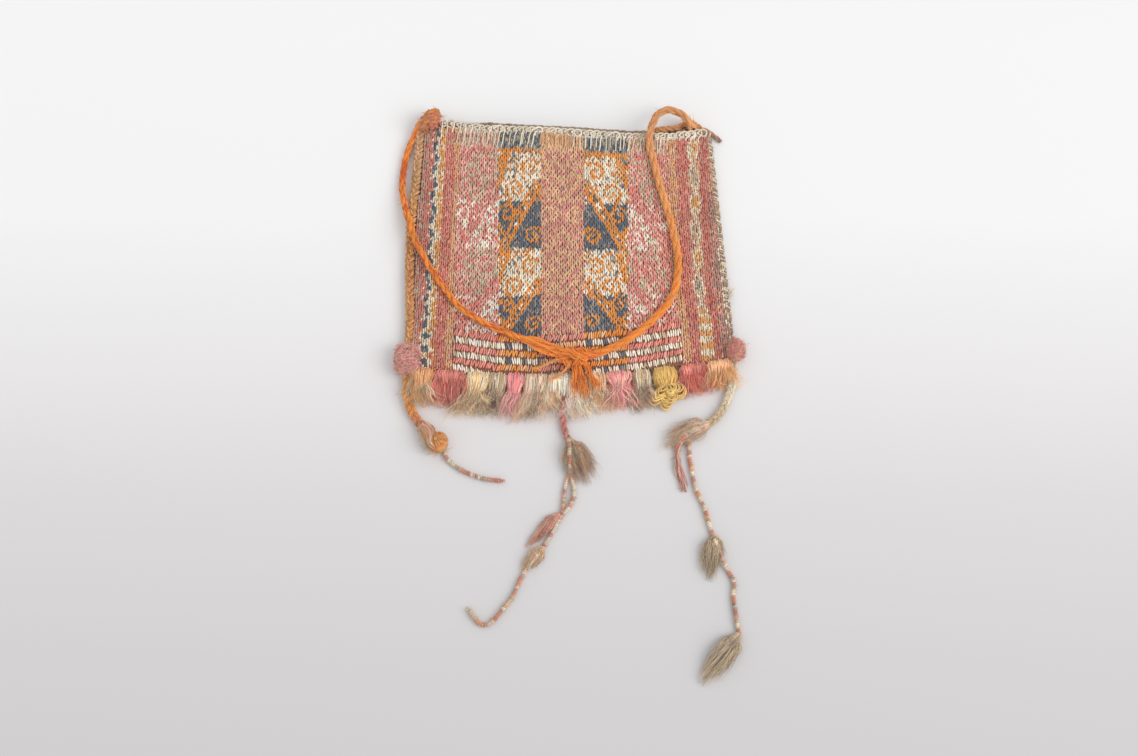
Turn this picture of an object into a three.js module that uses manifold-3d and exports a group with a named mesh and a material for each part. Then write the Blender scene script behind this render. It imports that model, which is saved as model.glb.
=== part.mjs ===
import * as THREE from "three";
import { mergeVertices } from "three/addons/utils/BufferGeometryUtils.js";
import Module from "manifold-3d";

// A small flat wool pouch lying on its back, mouth towards +Y, Z up, millimetres.
// The origin is on the table, under the middle of the back cloth.

// Cloth
const clearance = 0.3;          // air between two pieces that touch
const mouthWidth = 118;         // cloth width at the mouth
const foldWidth = 130;          // cloth width at the bottom fold
const pouchHeight = 104.7;      // fold to mouth down the middle
const mouthShift = -1.7;        // the mouth leans a little to the left of the fold
const mouthDip = 2.6;           // the mouth's middle hangs below its corners
const mouthTilt = 2.2;          // left mouth corner high, right one low
const foldBow = 4.6;            // the fold's middle reaches below its corners
const foldTilt = 1.9;           // right fold corner high, left one low
const seamHeight = 3.4;         // thickness where the two cloths are sewn together
const pouchRise = 6;            // how much higher the middle of the front cloth lies
const riseShare = 0.25;         // part of the height over which the front rises from the fold
const risePower = 2.4;          // how late the front drops to the side seams
const foldRound = 0.8;          // rounding of the bottom fold
const clothThickness = 1.5;
const seamMargin = 4;           // closed strip beside each side seam and the fold
const ridgeCount = 27;          // warp ridges across the cloth, one of them in the middle
const ridgeDepth = 0.5;
const grooveShare = 0.4;        // part of a ridge's width that slopes down to the grooves

// Edges
const edgingHalfWidth = 1.3;    // chain stitch round the mouth, seen from above
const edgingHalfHeight = 0.9;
const edgingLink = 3.4;         // length of one link
const sideBraidRadius = 1.9;    // orange braid down the left seam
const sideBraidLink = 5.2;
const sideSeamRadius = 1.2;     // whipped seam down the right side
const sideSeamLink = 5.2;
const linkWaist = 0.76;         // strand thickness between two links

// Strap
const leftStrapRadius = 1.6;
const rightStrapRadius = 2;
const wrapRadius = 4.2;         // strap end wound round the left mouth corner
const wrapLength = 7.6;
const wrapTurns = 4;
const hitchRadius = 2.8;        // strap end hitched behind the right of the mouth
const hitchLength = 10;
const hitchTurns = 4;
const tuckRadius = 1.5;         // cord that runs on behind the mouth
const tuckLength = 9;
const stubRadius = 1;           // free end right of the hitch
const knotRadius = 3;           // overhand knot that joins the two strap ends
const knotTubeRadius = 1.05;
const knotTailRadius = 0.9;

// Tufts and tails
const tuftThickness = 5.5;
const tuftWaist = 0.7;          // width at the binding, part of the full width
const fluteDepth = 0.13;        // how deep the bundles of yarn are parted
const cornerTuftThickness = 7.4;
const leftCornerTuft = { reach: 8, width: 13.4, rise: 0.034 };
const rightCornerTuft = { reach: 6.2, width: 10.6, rise: 0.034 };
const leftTailRadius = 2;
const leftBallRadius = 3.9;
const centreTailRadius = 1.25;
const rightTailRadius = 1.8;
const threadRadius = 0.95;
const looseStrandRadius = 0.8;
const cordSides = 8;
const cordStep = 2.6;           // step along a cord, in diameters
const loopStep = 1.5;           // closer steps where the strap arches over the mouth

const up = new THREE.Vector3(0, 0, 1);
const lerp = THREE.MathUtils.lerp;

// Places on the pouch: u runs from -1 at the left seam to 1 at the right one, v from the fold to the mouth.
const halfWidth = (v) => lerp(foldWidth, mouthWidth, v) / 2;
const foldY = (u) => -pouchHeight / 2 + foldBow * u * u + foldTilt * u;
const mouthY = (u) => pouchHeight / 2 + mouthDip * u * u - mouthTilt * u;

function onCloth(u, v, z) {
  const x = u * halfWidth(v) + mouthShift * (v - 0.5);
  return new THREE.Vector3(x, lerp(foldY(u), mouthY(u), v), z);
}

function frontHeight(u, v) {
  const across = Math.max(0, 1 - Math.abs(u) ** risePower);
  const along = Math.sin((Math.PI / 2) * Math.min(1, Math.max(0, v) / riseShare));
  return seamHeight + pouchRise * across * along;
}

// Joins rings of points, each running anticlockwise seen from the last ring, and closes both ends.
function loft(rings) {
  const count = rings[0].length;
  const last = (rings.length - 1) * count;
  const positions = rings.flat().flatMap((point) => [point.x, point.y, point.z]);
  const index = [];
  const quad = (a, b, c, d) => index.push(a, b, c, a, c, d);
  for (let row = 0; row < last; row += count) {
    for (let k = 0; k < count; k++) {
      const next = (k + 1) % count;
      quad(row + k, row + next, row + count + next, row + count + k);
    }
  }
  for (let k = 0; k + 1 < count / 2; k++) {
    const mate = count - 1 - k;
    quad(k, mate, mate - 1, k + 1);
    quad(last + k, last + k + 1, last + mate - 1, last + mate);
  }
  const geometry = new THREE.BufferGeometry();
  geometry.setAttribute("position", new THREE.Float32BufferAttribute(positions, 3));
  geometry.setIndex(index);
  return geometry;
}

function welded(geometry) {
  geometry.deleteAttribute("normal");
  geometry.deleteAttribute("uv");
  return mergeVertices(geometry, 1e-4);
}

const wasm = await Module();
wasm.setup();

function toSolid(geometry) {
  const clean = welded(geometry);
  return new wasm.Manifold(new wasm.Mesh({
    numProp: 3,
    vertProperties: new Float32Array(clean.attributes.position.array),
    triVerts: new Uint32Array(clean.index.array),
  }));
}

function fromSolid(solid) {
  const mesh = solid.getMesh();
  const geometry = new THREE.BufferGeometry();
  geometry.setAttribute("position", new THREE.Float32BufferAttribute(mesh.vertProperties, 3));
  geometry.setIndex([...mesh.triVerts]);
  return geometry;
}

const joined = (geometries) => fromSolid(geometries.map(toSolid).reduce((a, b) => a.add(b)));

// A strand along a row of points; swell says how thick it is at each of them.
function strand(points, halfSide, halfUp, sides, swell) {
  const rings = points.map((point, k) => {
    const ahead = points[Math.min(k + 1, points.length - 1)];
    const behind = points[Math.max(k - 1, 0)];
    const along = ahead.clone().sub(behind).normalize();
    const side = up.clone().cross(along).normalize();
    const lift = along.clone().cross(side);
    const ring = [];
    for (let j = 0; j < sides; j++) {
      const angle = (2 * Math.PI * (j + 0.5)) / sides;
      ring.push(point.clone()
        .addScaledVector(side, halfSide * swell(k) * Math.cos(angle))
        .addScaledVector(lift, halfUp * swell(k) * Math.sin(angle)));
    }
    return ring;
  });
  return loft(rings);
}

const linkSwell = (k) => (k % 2 ? 1 : linkWaist);

// Points for a strand of links between two values of a place, an even number of half links.
function linkRow(place, from, to, link) {
  const length = place(from).distanceTo(place(to));
  const halves = 2 * Math.max(2, Math.round(length / link));
  return Array.from({ length: halves + 1 }, (_, k) => place(lerp(from, to, k / halves)));
}

// A round cord along a smooth curve through its route.
function cord(route, radius, step = cordStep) {
  const curve = new THREE.CatmullRomCurve3(route, false, "catmullrom", 0.5);
  const corners = Array.from({ length: cordSides }, (_, k) => {
    const angle = (2 * Math.PI * k) / cordSides;
    return new THREE.Vector2(radius * Math.cos(angle), radius * Math.sin(angle));
  });
  const steps = Math.max(4, Math.round(curve.getLength() / (2 * radius * step)));
  return welded(new THREE.ExtrudeGeometry(new THREE.Shape(corners), {
    steps,
    bevelEnabled: false,
    extrudePath: curve,
  }));
}

// A bundle of yarn lying on the table, parted into flutes, from an origin along a direction.
// Every station gives the distance along it, half its width, half its thickness and its sideways lean.
function bundle(origin, direction, stations, flutes) {
  const side = up.clone().cross(direction).normalize();
  const rings = stations.map(([along, half, thick, lean]) => {
    const ring = [];
    for (let k = 0; k < 2 * flutes; k++) {
      const angle = (Math.PI * (k + 0.5)) / flutes;
      const depth = k % 2 ? 1 - fluteDepth : 1;
      ring.push(origin.clone()
        .addScaledVector(direction, along)
        .addScaledVector(side, lean + half * depth * Math.cos(angle))
        .addScaledVector(up, thick + thick * depth * Math.sin(angle)));
    }
    return ring;
  });
  return loft(rings);
}

// A cord end wound on itself: turns of cord along Y from 0 to the length.
function windings(radius, length, turns, segments) {
  const pitch = length / turns;
  const profile = [new THREE.Vector2(0, 0)];
  for (let k = 0; k < turns; k++) {
    profile.push(new THREE.Vector2(radius * 0.86, k * pitch + pitch * 0.05));
    profile.push(new THREE.Vector2(radius, k * pitch + pitch * 0.5));
  }
  profile.push(new THREE.Vector2(radius * 0.86, length));
  profile.push(new THREE.Vector2(0, length));
  return welded(new THREE.LatheGeometry(profile, segments));
}

// Dyed wool, each piece in its own colour
const wool = (colour) => new THREE.MeshStandardMaterial({ color: colour, roughness: 0.95, metalness: 0 });
const orange = "#d9823f";
const russet = "#b9673a";
const red = "#b4605a";
const rose = "#c98a86";
const pink = "#d98a92";
const peach = "#d9a57c";
const ochre = "#c4935c";
const yellow = "#cdb45a";
const cream = "#d9cdb4";
const white = "#e9e0d2";
const beige = "#c9b59a";
const fawn = "#a89a86";
const grey = "#9a8f80";
const clothRed = "#b5756a";

const bag = new THREE.Group();
bag.name = "woven_wool_bag";

function group(name, position) {
  const node = new THREE.Group();
  node.name = name;
  node.position.copy(position);
  bag.add(node);
  return node;
}

function piece(parent, name, geometry, colour) {
  const mesh = new THREE.Mesh(geometry, wool(colour));
  mesh.name = name;
  parent.add(mesh);
  return mesh;
}

// Body: one cloth folded at the bottom and sewn up both sides, woven in warp ridges inside a smooth pocket.
const clothColumns = [];
for (let k = 0; k < ridgeCount; k++) {
  const pitch = 2 / ridgeCount;
  const start = -1 + k * pitch;
  clothColumns.push([start, ridgeDepth]);
  clothColumns.push([start + (pitch * grooveShare) / 2, 0]);
  clothColumns.push([start + pitch * (1 - grooveShare / 2), 0]);
}
clothColumns.push([1, ridgeDepth]);

const clothStations = [0, 0.025, 0.07, 0.14, riseShare, 0.5, 0.75, 1];
const outside = loft(clothStations.map((v) => {
  const round = v === 0 ? foldRound : 0;
  const front = clothColumns.map(([u, dent]) => onCloth(u, v, frontHeight(u, v) - dent - round));
  const back = clothColumns.map(([u, dent]) => onCloth(u, v, dent + round));
  return [...front, ...back.reverse()];
}));

const pocketColumns = 14;
const pocketStations = [seamMargin / pouchHeight, 0.07, 0.14, riseShare, 0.5, 0.75, 1.06];
const pocket = loft(pocketStations.map((v) => {
  const reach = 1 - seamMargin / halfWidth(v);
  const front = [];
  const back = [];
  for (let k = 0; k <= pocketColumns; k++) {
    const u = -reach * Math.cos((Math.PI * k) / pocketColumns);
    front.push(onCloth(u, v, frontHeight(u, v) - clothThickness));
    back.push(onCloth(u, v, clothThickness));
  }
  return [...front, ...back.reverse()];
}));

const body = group("pouch", new THREE.Vector3());
piece(body, "bag_body", fromSolid(toSolid(outside).subtract(toSolid(pocket))), clothRed);

// Left mouth corner: the strap end wound into a barrel above the corner.
const leftCorner = onCloth(-1, 1, 0);
const wrapFoot = new THREE.Vector3(leftCorner.x + 1, leftCorner.y + clearance, wrapRadius);
const wrap = piece(body, "strap_left_wrap", windings(wrapRadius, wrapLength, wrapTurns, 12), russet);
wrap.position.copy(wrapFoot);

// Mouth edging: a chain along the front lip and one along the back lip, meeting at the right corner.
const mouthGap = clearance + edgingHalfWidth;
const frontLip = (u) => {
  const place = onCloth(u, 1, frontHeight(u, 1) - clothThickness / 2);
  place.y += mouthGap;
  return place;
};
const backLip = (u) => {
  const place = onCloth(u, 1, edgingHalfHeight);
  place.y += mouthGap;
  return place;
};
const edgingStart = (wrapFoot.x + wrapRadius + clearance * 2 - onCloth(0, 1, 0).x) / halfWidth(1);
const cornerKnot = new THREE.SphereGeometry(seamHeight / 2, 10, 6);
cornerKnot.translate(...onCloth(1, 1, seamHeight / 2).add(new THREE.Vector3(0, clearance + seamHeight / 2, 0)));
piece(body, "mouth_edging", joined([
  strand(linkRow(frontLip, edgingStart, 1, edgingLink), edgingHalfWidth, edgingHalfHeight, 6, linkSwell),
  strand(linkRow(backLip, edgingStart, 1, edgingLink * 3), edgingHalfWidth, edgingHalfHeight, 6, linkSwell),
  cornerKnot,
]), cream);

// Side seams: an orange braid on the left, whipped cream stitches on the right.
const edgeLength = (u) => onCloth(u, 0, 0).distanceTo(onCloth(u, 1, 0));
const aboveTuft = (u, tuft) => tuft.rise + (tuft.width / 2 + clearance * 2) / edgeLength(u);
const leftEdge = (v) => onCloth(-1, v, sideBraidRadius)
  .add(new THREE.Vector3(-clearance - sideBraidRadius, 0, 0));
const rightEdge = (v) => onCloth(1, v, seamHeight / 2)
  .add(new THREE.Vector3(clearance + sideSeamRadius, 0, 0));
piece(body, "left_side_braid", strand(
  linkRow(leftEdge, aboveTuft(-1, leftCornerTuft), 1, sideBraidLink),
  sideBraidRadius, sideBraidRadius, 8, linkSwell,
), orange);
piece(body, "right_side_seam", strand(
  linkRow(rightEdge, aboveTuft(1, rightCornerTuft), 1, sideSeamLink),
  sideSeamRadius, sideSeamRadius, 6, linkSwell,
), cream);

// Strap: both ends lie down the front from the mouth corners and are knotted together above the fold.
const strap = group("strap", new THREE.Vector3());
const slopeAt = (u, v) => {
  const step = 0.01;
  const low = onCloth(u, v - step, frontHeight(u, v - step));
  const high = onCloth(u, v + step, frontHeight(u, v + step));
  return Math.atan2(high.z - low.z, high.y - low.y);
};
const onFront = (radius) => ([u, v, lift]) => {
  const rest = Math.abs(u) <= 1 && v <= 1 ? frontHeight(u, v) + clearance : 0;
  return onCloth(u, v, rest + radius / Math.cos(slopeAt(u, v)) + lift);
};

const overBraid = 2 * sideBraidRadius + clearance;
const leftRoute = [
  [-1.11, 0.97, 1], [-1.127, 0.9, 0.1], [-1.148, 0.795, 0.1], [-1.137, 0.713, overBraid * 0.2],
  [-1.085, 0.605, overBraid * 0.8], [-1.016, 0.505, overBraid * 1.05], [-0.925, 0.415, 0.2], [-0.821, 0.329, 0],
  [-0.704, 0.246, 0], [-0.561, 0.19, 0], [-0.406, 0.15, 0], [-0.253, 0.115, 0], [-0.15, 0.092, 0],
  [-0.085, 0.078, 0.3],
];
const leftStart = wrapFoot.clone().add(new THREE.Vector3(
  -wrapRadius - leftStrapRadius * 0.6, wrapLength * 0.45, 0.2));
const leftBend = leftStart.clone().add(new THREE.Vector3(-2, -0.8, -0.6));
piece(strap, "strap_left", cord(
  [leftStart, leftBend, ...leftRoute.map(onFront(leftStrapRadius))], leftStrapRadius), orange);

const mouthOutside = 2 * mouthGap;
const behindMouth = (u, radius) => {
  const place = onCloth(u, 1, radius);
  place.y += mouthOutside + radius;
  return place;
};
const hitchU = 0.87;
const hitchMiddle = behindMouth(hitchU, hitchRadius);
const hitch = piece(strap, "strap_right_hitch", windings(hitchRadius, hitchLength, hitchTurns, 10), russet);
hitch.rotation.z = -Math.PI / 2;
hitch.position.copy(hitchMiddle).add(new THREE.Vector3(-hitchLength / 2, 0, 0));

const hitchLeft = hitchMiddle.clone().add(new THREE.Vector3(-hitchLength / 2 - clearance, 0, 0));
const hitchRight = hitchMiddle.clone().add(new THREE.Vector3(hitchLength / 2 + clearance, 0, 0));
const fromHitch = (x, y, z) => hitchLeft.clone().add(new THREE.Vector3(x, y, z));
const overMouth = edgingHalfHeight + clearance;
const rightRoute = [
  [0.578, 0.973, overMouth], [0.596, 0.897, 0], [0.638, 0.756, 0], [0.675, 0.649, 0], [0.703, 0.542, 0],
  [0.717, 0.436, 0], [0.694, 0.342, 0], [0.646, 0.27, 0], [0.562, 0.211, 0], [0.45, 0.152, 0],
  [0.324, 0.105, 0], [0.215, 0.077, 0], [0.135, 0.062, 0.2],
];
const overHitch = hitchRadius + clearance + rightStrapRadius;
piece(strap, "strap_right", cord([
  fromHitch(4.4, 0.4, overHitch), fromHitch(2, 2.2, overHitch), fromHitch(-1, 3.6, overHitch),
  fromHitch(-4.4, 3.8, overHitch + 0.4), fromHitch(-7.6, 1.8, overHitch + 1),
  fromHitch(-9.8, -1.6, overHitch + 1.8),
  ...rightRoute.map(onFront(rightStrapRadius)),
], rightStrapRadius, loopStep), orange);

const tuckEnd = hitchU - (hitchLength / 2 + tuckLength) / halfWidth(1);
const tuckStart = hitchU - (hitchLength / 2 + 2 * clearance) / halfWidth(1);
piece(strap, "strap_right_tuck", cord(
  [tuckStart, lerp(tuckStart, tuckEnd, 0.35), lerp(tuckStart, tuckEnd, 0.7), tuckEnd]
    .map((u) => behindMouth(u, tuckRadius)), tuckRadius), russet);
const fromStub = (x, y) => hitchRight.clone().add(new THREE.Vector3(x, y, stubRadius - hitchRadius));
piece(strap, "strap_right_stub", cord(
  [fromStub(0, 0), fromStub(2.4, 0.2), fromStub(5.4, -0.8), fromStub(8.2, -3.6)], stubRadius), russet);

const knotPlace = [0.019, 0.057];
const knotSlope = slopeAt(...knotPlace);
const knotHalfHeight = knotRadius / 2 + knotTubeRadius;
const knot = piece(strap, "front_knot", welded(
  new THREE.TorusKnotGeometry(knotRadius, knotTubeRadius, 36, 6, 2, 3)), orange);
const knotLift = frontHeight(...knotPlace) + knotHalfHeight / Math.cos(knotSlope) + clearance;
const knotMiddle = onCloth(...knotPlace, knotLift);
knot.position.copy(knotMiddle);
knot.rotation.x = knotSlope;

const knotReach = 1.5 * knotRadius + knotTubeRadius + clearance;
const knotTails = [
  ["knot_tail_left", -1.95, -3.2, -5.4, -8.2],
  ["knot_tail_middle", -1.4, 1.6, 0.8, -9.4],
  ["knot_tail_right", -0.6, 4.6, 3.6, -9],
];
for (const [name, angle, sway, drift, drop] of knotTails) {
  const start = new THREE.Vector3(
    knotMiddle.x + knotReach * Math.cos(angle),
    knotMiddle.y + knotReach * Math.sin(angle) * Math.cos(knotSlope),
    tuftThickness + clearance + knotTailRadius);
  const middle = start.clone().add(new THREE.Vector3((sway + drift) / 4, drop * 0.5, 0.3));
  const end = start.clone().add(new THREE.Vector3((sway + drift) / 2, drop, 0));
  piece(strap, name, cord([start, middle, end], knotTailRadius), orange);
}

// Fold fringe: bound tufts of yarn side by side along the fold, with a slot for the middle tail.
const fringe = group("fringe", new THREE.Vector3());
const slot = 2 * centreTailRadius + 2 * clearance;
const foldTufts = [
  { name: "tuft_01_ochre", colour: ochre, share: 9.8, length: 14.4, lean: 2.6 },
  { name: "tuft_02_red", colour: red, share: 13.4, length: 13, lean: 0.6 },
  { name: "tuft_03_cream", colour: cream, share: 9.7, length: 17.4, lean: 0 },
  { name: "tuft_04_grey", colour: grey, share: 6.9, length: 17, lean: 0 },
  { name: "tuft_05_pink", colour: pink, share: 7.2, length: 17.2, lean: 0 },
  { name: "tuft_06_fawn", colour: fawn, share: 9.7, length: 19, lean: 0 },
  { name: "tuft_07_white", colour: white, share: 4.9, length: 12, lean: 0 },
  { share: 0 },
  { name: "tuft_08_cream", colour: cream, share: 8.1, length: 18, lean: 0 },
  { name: "tuft_09_beige", colour: beige, share: 7.6, length: 16, lean: 0 },
  { name: "tuft_10_pink", colour: rose, share: 11, length: 14.6, lean: 0 },
  { name: "tuft_11_grey", colour: grey, share: 7.3, length: 16.4, lean: 0 },
  { name: "tuft_12_yellow", colour: yellow, share: 12.1, length: 13, lean: 0, lobes: true },
  { name: "tuft_13_red", colour: red, share: 11, length: 12.4, lean: -1.4 },
  { name: "tuft_14_peach", colour: peach, share: 10.7, length: 11.4, lean: -3.6 },
];
const shares = foldTufts.reduce((sum, tuft) => sum + tuft.share, 0);
const foldSide = (u) => new THREE.Vector3(halfWidth(0), 2 * foldBow * u + foldTilt, 0).normalize();

function foldTuft(u, width, tuft) {
  const side = foldSide(u);
  const direction = new THREE.Vector3(side.y, -side.x, 0);
  const origin = onCloth(u, 0, 0).addScaledVector(direction, clearance);
  const half = width / 2 - clearance / 2;
  const thick = tuftThickness / 2;
  const station = ([along, wide, deep]) => [
    along * tuft.length, wide * half, deep * thick, along * along * tuft.lean];
  const stations = [
    [0, 0.92, 0.62], [0.16, 0.98, 1], [0.36, 0.92, 0.94], [0.5, tuftWaist, 0.78], [0.74, 0.9, 0.74],
    [1, 0.82, 0.34],
  ].map(station);
  const yarn = bundle(origin, direction, stations, 5);
  if (!tuft.lobes) return yarn;
  const lobes = [[-0.62, 0.8, 0.36], [0.06, 1.08, 0.42], [0.6, 0.78, 0.38]].map(([across, along, size]) => {
    const lobe = new THREE.SphereGeometry(1, 8, 5);
    lobe.rotateX(Math.PI / 2);
    lobe.scale(half * size, half * size, thick * 0.7);
    const place = origin.clone()
      .addScaledVector(side, across * half)
      .addScaledVector(direction, along * tuft.length);
    return lobe.translate(place.x, place.y, thick * 0.7);
  });
  return joined([yarn, ...lobes]);
}

let fringeX = -foldWidth / 2;
let slotU = 0;
for (const tuft of foldTufts) {
  const width = tuft.name ? (tuft.share / shares) * (foldWidth - slot) : slot;
  const u = (fringeX + width / 2) / (foldWidth / 2);
  fringeX += width;
  if (tuft.name) piece(fringe, tuft.name, foldTuft(u, width, tuft), tuft.colour);
  else slotU = u;
}

// Corner tufts: thick bundles bound over the two bottom corners.
function cornerTuft(u, tuft) {
  const outward = new THREE.Vector3(Math.sign(u), 0, 0);
  const origin = onCloth(u, tuft.rise, 0).addScaledVector(outward, 2 * clearance);
  const half = tuft.width / 2;
  const thick = cornerTuftThickness / 2;
  const stations = [
    [0, 0.8, 0.8], [0.22, 0.96, 1], [0.55, 1, 1], [0.84, 0.9, 0.86], [1, 0.62, 0.5],
  ].map(([along, wide, deep]) => [along * tuft.reach, wide * half, deep * thick, 0]);
  return bundle(origin, outward, stations, 7);
}
piece(fringe, "corner_tuft_left", cornerTuft(-1, leftCornerTuft), rose);
piece(fringe, "corner_tuft_right", cornerTuft(1, rightCornerTuft), rose);

// Tassels: a bound head, a neck and a flared skirt of yarn ends.
function tassel([x, y], [towardsX, towardsY], head, skirt, length) {
  const direction = new THREE.Vector3(towardsX, towardsY, 0).normalize();
  const thick = Math.min(skirt * 0.62, head * 1.2);
  const stations = [
    [0, head * 0.7, head * 0.7, 0], [length * 0.09, head, head, 0], [length * 0.2, head * 0.72, head * 0.72, 0],
    [length * 0.42, skirt * 0.78, thick, 0], [length * 0.78, skirt, thick * 0.8, 0],
    [length, skirt * 0.74, thick * 0.36, 0],
  ];
  return bundle(new THREE.Vector3(x, y, 0), direction, stations, 6);
}

const flatRoute = (points, radius) => points.map(([x, y]) => new THREE.Vector3(x, y, radius));

// Left tail: a braid from the corner tuft, a yarn ball and a thin thread.
const leftTail = group("left_tail", onCloth(-1, leftCornerTuft.rise, 0).add(new THREE.Vector3(
  -clearance - leftCornerTuft.reach * 0.45, -leftCornerTuft.width / 2 - clearance, 0)));
const leftCordEnd = [12.4, -24.4];
piece(leftTail, "left_tail_cord", cord(flatRoute(
  [[0, 0], [0, -5.8], [1.9, -11.8], [5.6, -17], [9, -20.8], leftCordEnd],
  leftTailRadius), leftTailRadius), ochre);
const ball = new THREE.SphereGeometry(leftBallRadius, 12, 8);
const ballReach = leftBallRadius + clearance;
const ballPlace = [leftCordEnd[0] + ballReach * 0.66, leftCordEnd[1] - ballReach * 0.75];
piece(leftTail, "left_tail_ball", welded(ball), orange).position.set(...ballPlace, leftBallRadius);
const fromBall = (x, y) => [ballPlace[0] + ballReach * 0.6 + x, ballPlace[1] - ballReach * 0.6 + y];
piece(leftTail, "left_tail_thread", cord(flatRoute([
  fromBall(0, 0), fromBall(1.2, -3.6), fromBall(4, -6.3), fromBall(7.5, -8.9), fromBall(11, -10.9),
  fromBall(16.4, -12.5), fromBall(21.3, -13.2), fromBall(26, -13.6),
], threadRadius), threadRadius), rose);

// Middle tail: a twisted cord from the slot in the fringe, a tassel, a doubled thread and two more tassels.
const middleTail = group("centre_tail", onCloth(slotU, 0, 0).add(new THREE.Vector3(0, -clearance, 0)));
piece(middleTail, "centre_tail_cord", cord(flatRoute(
  [[0, 0], [0, -5.5], [0, -11], [-0.2, -16.6], [0.4, -21.8], [1.8, -26.2]],
  centreTailRadius), centreTailRadius), red);
piece(middleTail, "centre_tassel_1", tassel([2, -26.7], [0.36, -0.93], 2.2, 4.6, 16), fawn);
piece(middleTail, "centre_tail_thread", cord(flatRoute([
  [0.5, -32.2], [0.6, -36], [1.7, -41.5], [3.5, -46.4], [3.9, -50.4], [2, -54.6], [-1.2, -58.6], [-4, -64],
  [-7.4, -69.5],
], threadRadius), threadRadius), rose);
piece(middleTail, "centre_tail_strand", cord(flatRoute(
  [[0, -43.4], [-0.2, -46.6], [-0.3, -50], [-0.4, -54]], looseStrandRadius), looseStrandRadius), peach);
piece(middleTail, "centre_tassel_2", tassel([-2.9, -57.2], [-0.68, -0.73], 1.5, 2.8, 12), pink);
piece(middleTail, "centre_tassel_3", tassel([-7.8, -70.2], [-0.6, -0.8], 1.6, 3.2, 10.4), beige);
piece(middleTail, "centre_tail_end", cord(flatRoute([
  [-14.4, -79], [-16.5, -82.6], [-19.8, -90], [-23.8, -95.4], [-27.1, -99.5], [-31.1, -101.2], [-33.8, -98.8],
  [-36.5, -95.7],
], threadRadius), threadRadius), rose);

// Right tail: a cream braid, then three tassels on thin threads.
const rightTail = group("right_tail", onCloth(1, rightCornerTuft.rise, 0).add(new THREE.Vector3(
  clearance + rightCornerTuft.reach * 0.4, -rightCornerTuft.width / 2 - clearance, 0)));
piece(rightTail, "right_tail_cord", cord(flatRoute([
  [0.6, 0], [0.5, -4.2], [-0.8, -10.2], [-4.2, -17], [-8.8, -22.2], [-13.4, -25.4],
], rightTailRadius), rightTailRadius), cream);
piece(rightTail, "right_tassel_1", tassel([-14.1, -25.8], [-0.95, -0.31], 2.4, 4, 16.6), beige);
piece(rightTail, "right_tail_thread_1", cord(flatRoute([
  [-20.4, -31.9], [-20.2, -37], [-19.3, -44.4], [-17.5, -52.2], [-14.7, -59], [-13.1, -64.8], [-11.6, -69.8],
], threadRadius), threadRadius), rose);
piece(rightTail, "right_tail_strand", cord(flatRoute(
  [[-24.2, -33.4], [-25.5, -38], [-24, -44.4], [-22, -52]], looseStrandRadius), looseStrandRadius), pink);
piece(rightTail, "right_tassel_2", tassel([-11.2, -70.9], [-0.3, -0.95], 2.1, 4.2, 16.4), grey);
piece(rightTail, "right_tail_thread_2", cord(flatRoute([
  [-9.6, -74.4], [-8.4, -79], [-5.9, -84.6], [-3.8, -88.8], [-4.1, -95.3], [-3.3, -101.9], [-2.2, -108.6],
], threadRadius), threadRadius), rose);
piece(rightTail, "right_tassel_3", tassel([-2.6, -110], [-0.55, -0.83], 2.2, 5.2, 20), beige);

export default bag;
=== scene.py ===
import math

import bpy
import numpy as np
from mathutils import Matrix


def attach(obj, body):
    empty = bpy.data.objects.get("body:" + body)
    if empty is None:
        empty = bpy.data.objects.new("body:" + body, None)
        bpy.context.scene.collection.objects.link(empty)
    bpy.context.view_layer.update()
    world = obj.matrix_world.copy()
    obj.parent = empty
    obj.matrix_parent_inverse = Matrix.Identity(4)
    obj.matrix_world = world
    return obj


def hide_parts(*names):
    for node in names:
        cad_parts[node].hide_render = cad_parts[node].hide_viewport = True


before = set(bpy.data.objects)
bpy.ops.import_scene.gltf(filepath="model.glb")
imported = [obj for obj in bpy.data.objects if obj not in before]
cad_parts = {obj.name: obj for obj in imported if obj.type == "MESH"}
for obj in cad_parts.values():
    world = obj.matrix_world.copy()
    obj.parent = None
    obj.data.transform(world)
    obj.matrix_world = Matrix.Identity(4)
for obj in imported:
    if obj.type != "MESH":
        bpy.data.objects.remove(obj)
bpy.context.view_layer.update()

mm = 0.001                               # every size below is in millimetres, every mesh in metres
xAxis, yAxis, up = np.eye(3)
fullTurn = 2 * math.pi


def linear(hexColour):
    parts = [int(hexColour[k:k + 2], 16) / 255 for k in (1, 3, 5)]
    return np.array([p / 12.92 if p <= 0.04045 else ((p + 0.055) / 1.055) ** 2.4 for p in parts])


dyes = {name: linear(colour) for name, colour in {
    "orange": "#f0913f", "amber": "#eca462", "rust": "#d99a68", "ember": "#d4642f", "ochre": "#d8a268",
    "sand": "#c9ae88", "clay": "#da9350", "sienna": "#cf8266", "red": "#cc8070", "brick": "#bd6b5c",
    "pink": "#ec979b", "rose": "#d98c80", "blush": "#e6b2a4", "petal": "#f6c8bd", "peach": "#e6b78c",
    "tan": "#d7ad8a", "mauve": "#c58c81", "cocoa": "#a78778", "cream": "#e3d7bf", "white": "#ebe3d4",
    "butter": "#efd2a4", "yellow": "#d8b46e", "beige": "#d5c2a7", "fawn": "#bca88e", "grey": "#a89984",
    "slate": "#656b73", "ash": "#8f918e",
}.items()}


def addNode(tree, kind, settings=None, links=None):
    node = tree.nodes.new(kind)
    for key, value in (settings or {}).items():
        if isinstance(key, str) and hasattr(node, key):
            setattr(node, key, value)
        else:
            node.inputs[key].default_value = value
    for key, source in (links or {}).items():
        tree.links.new(source, node.inputs[key])
    return node


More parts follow.
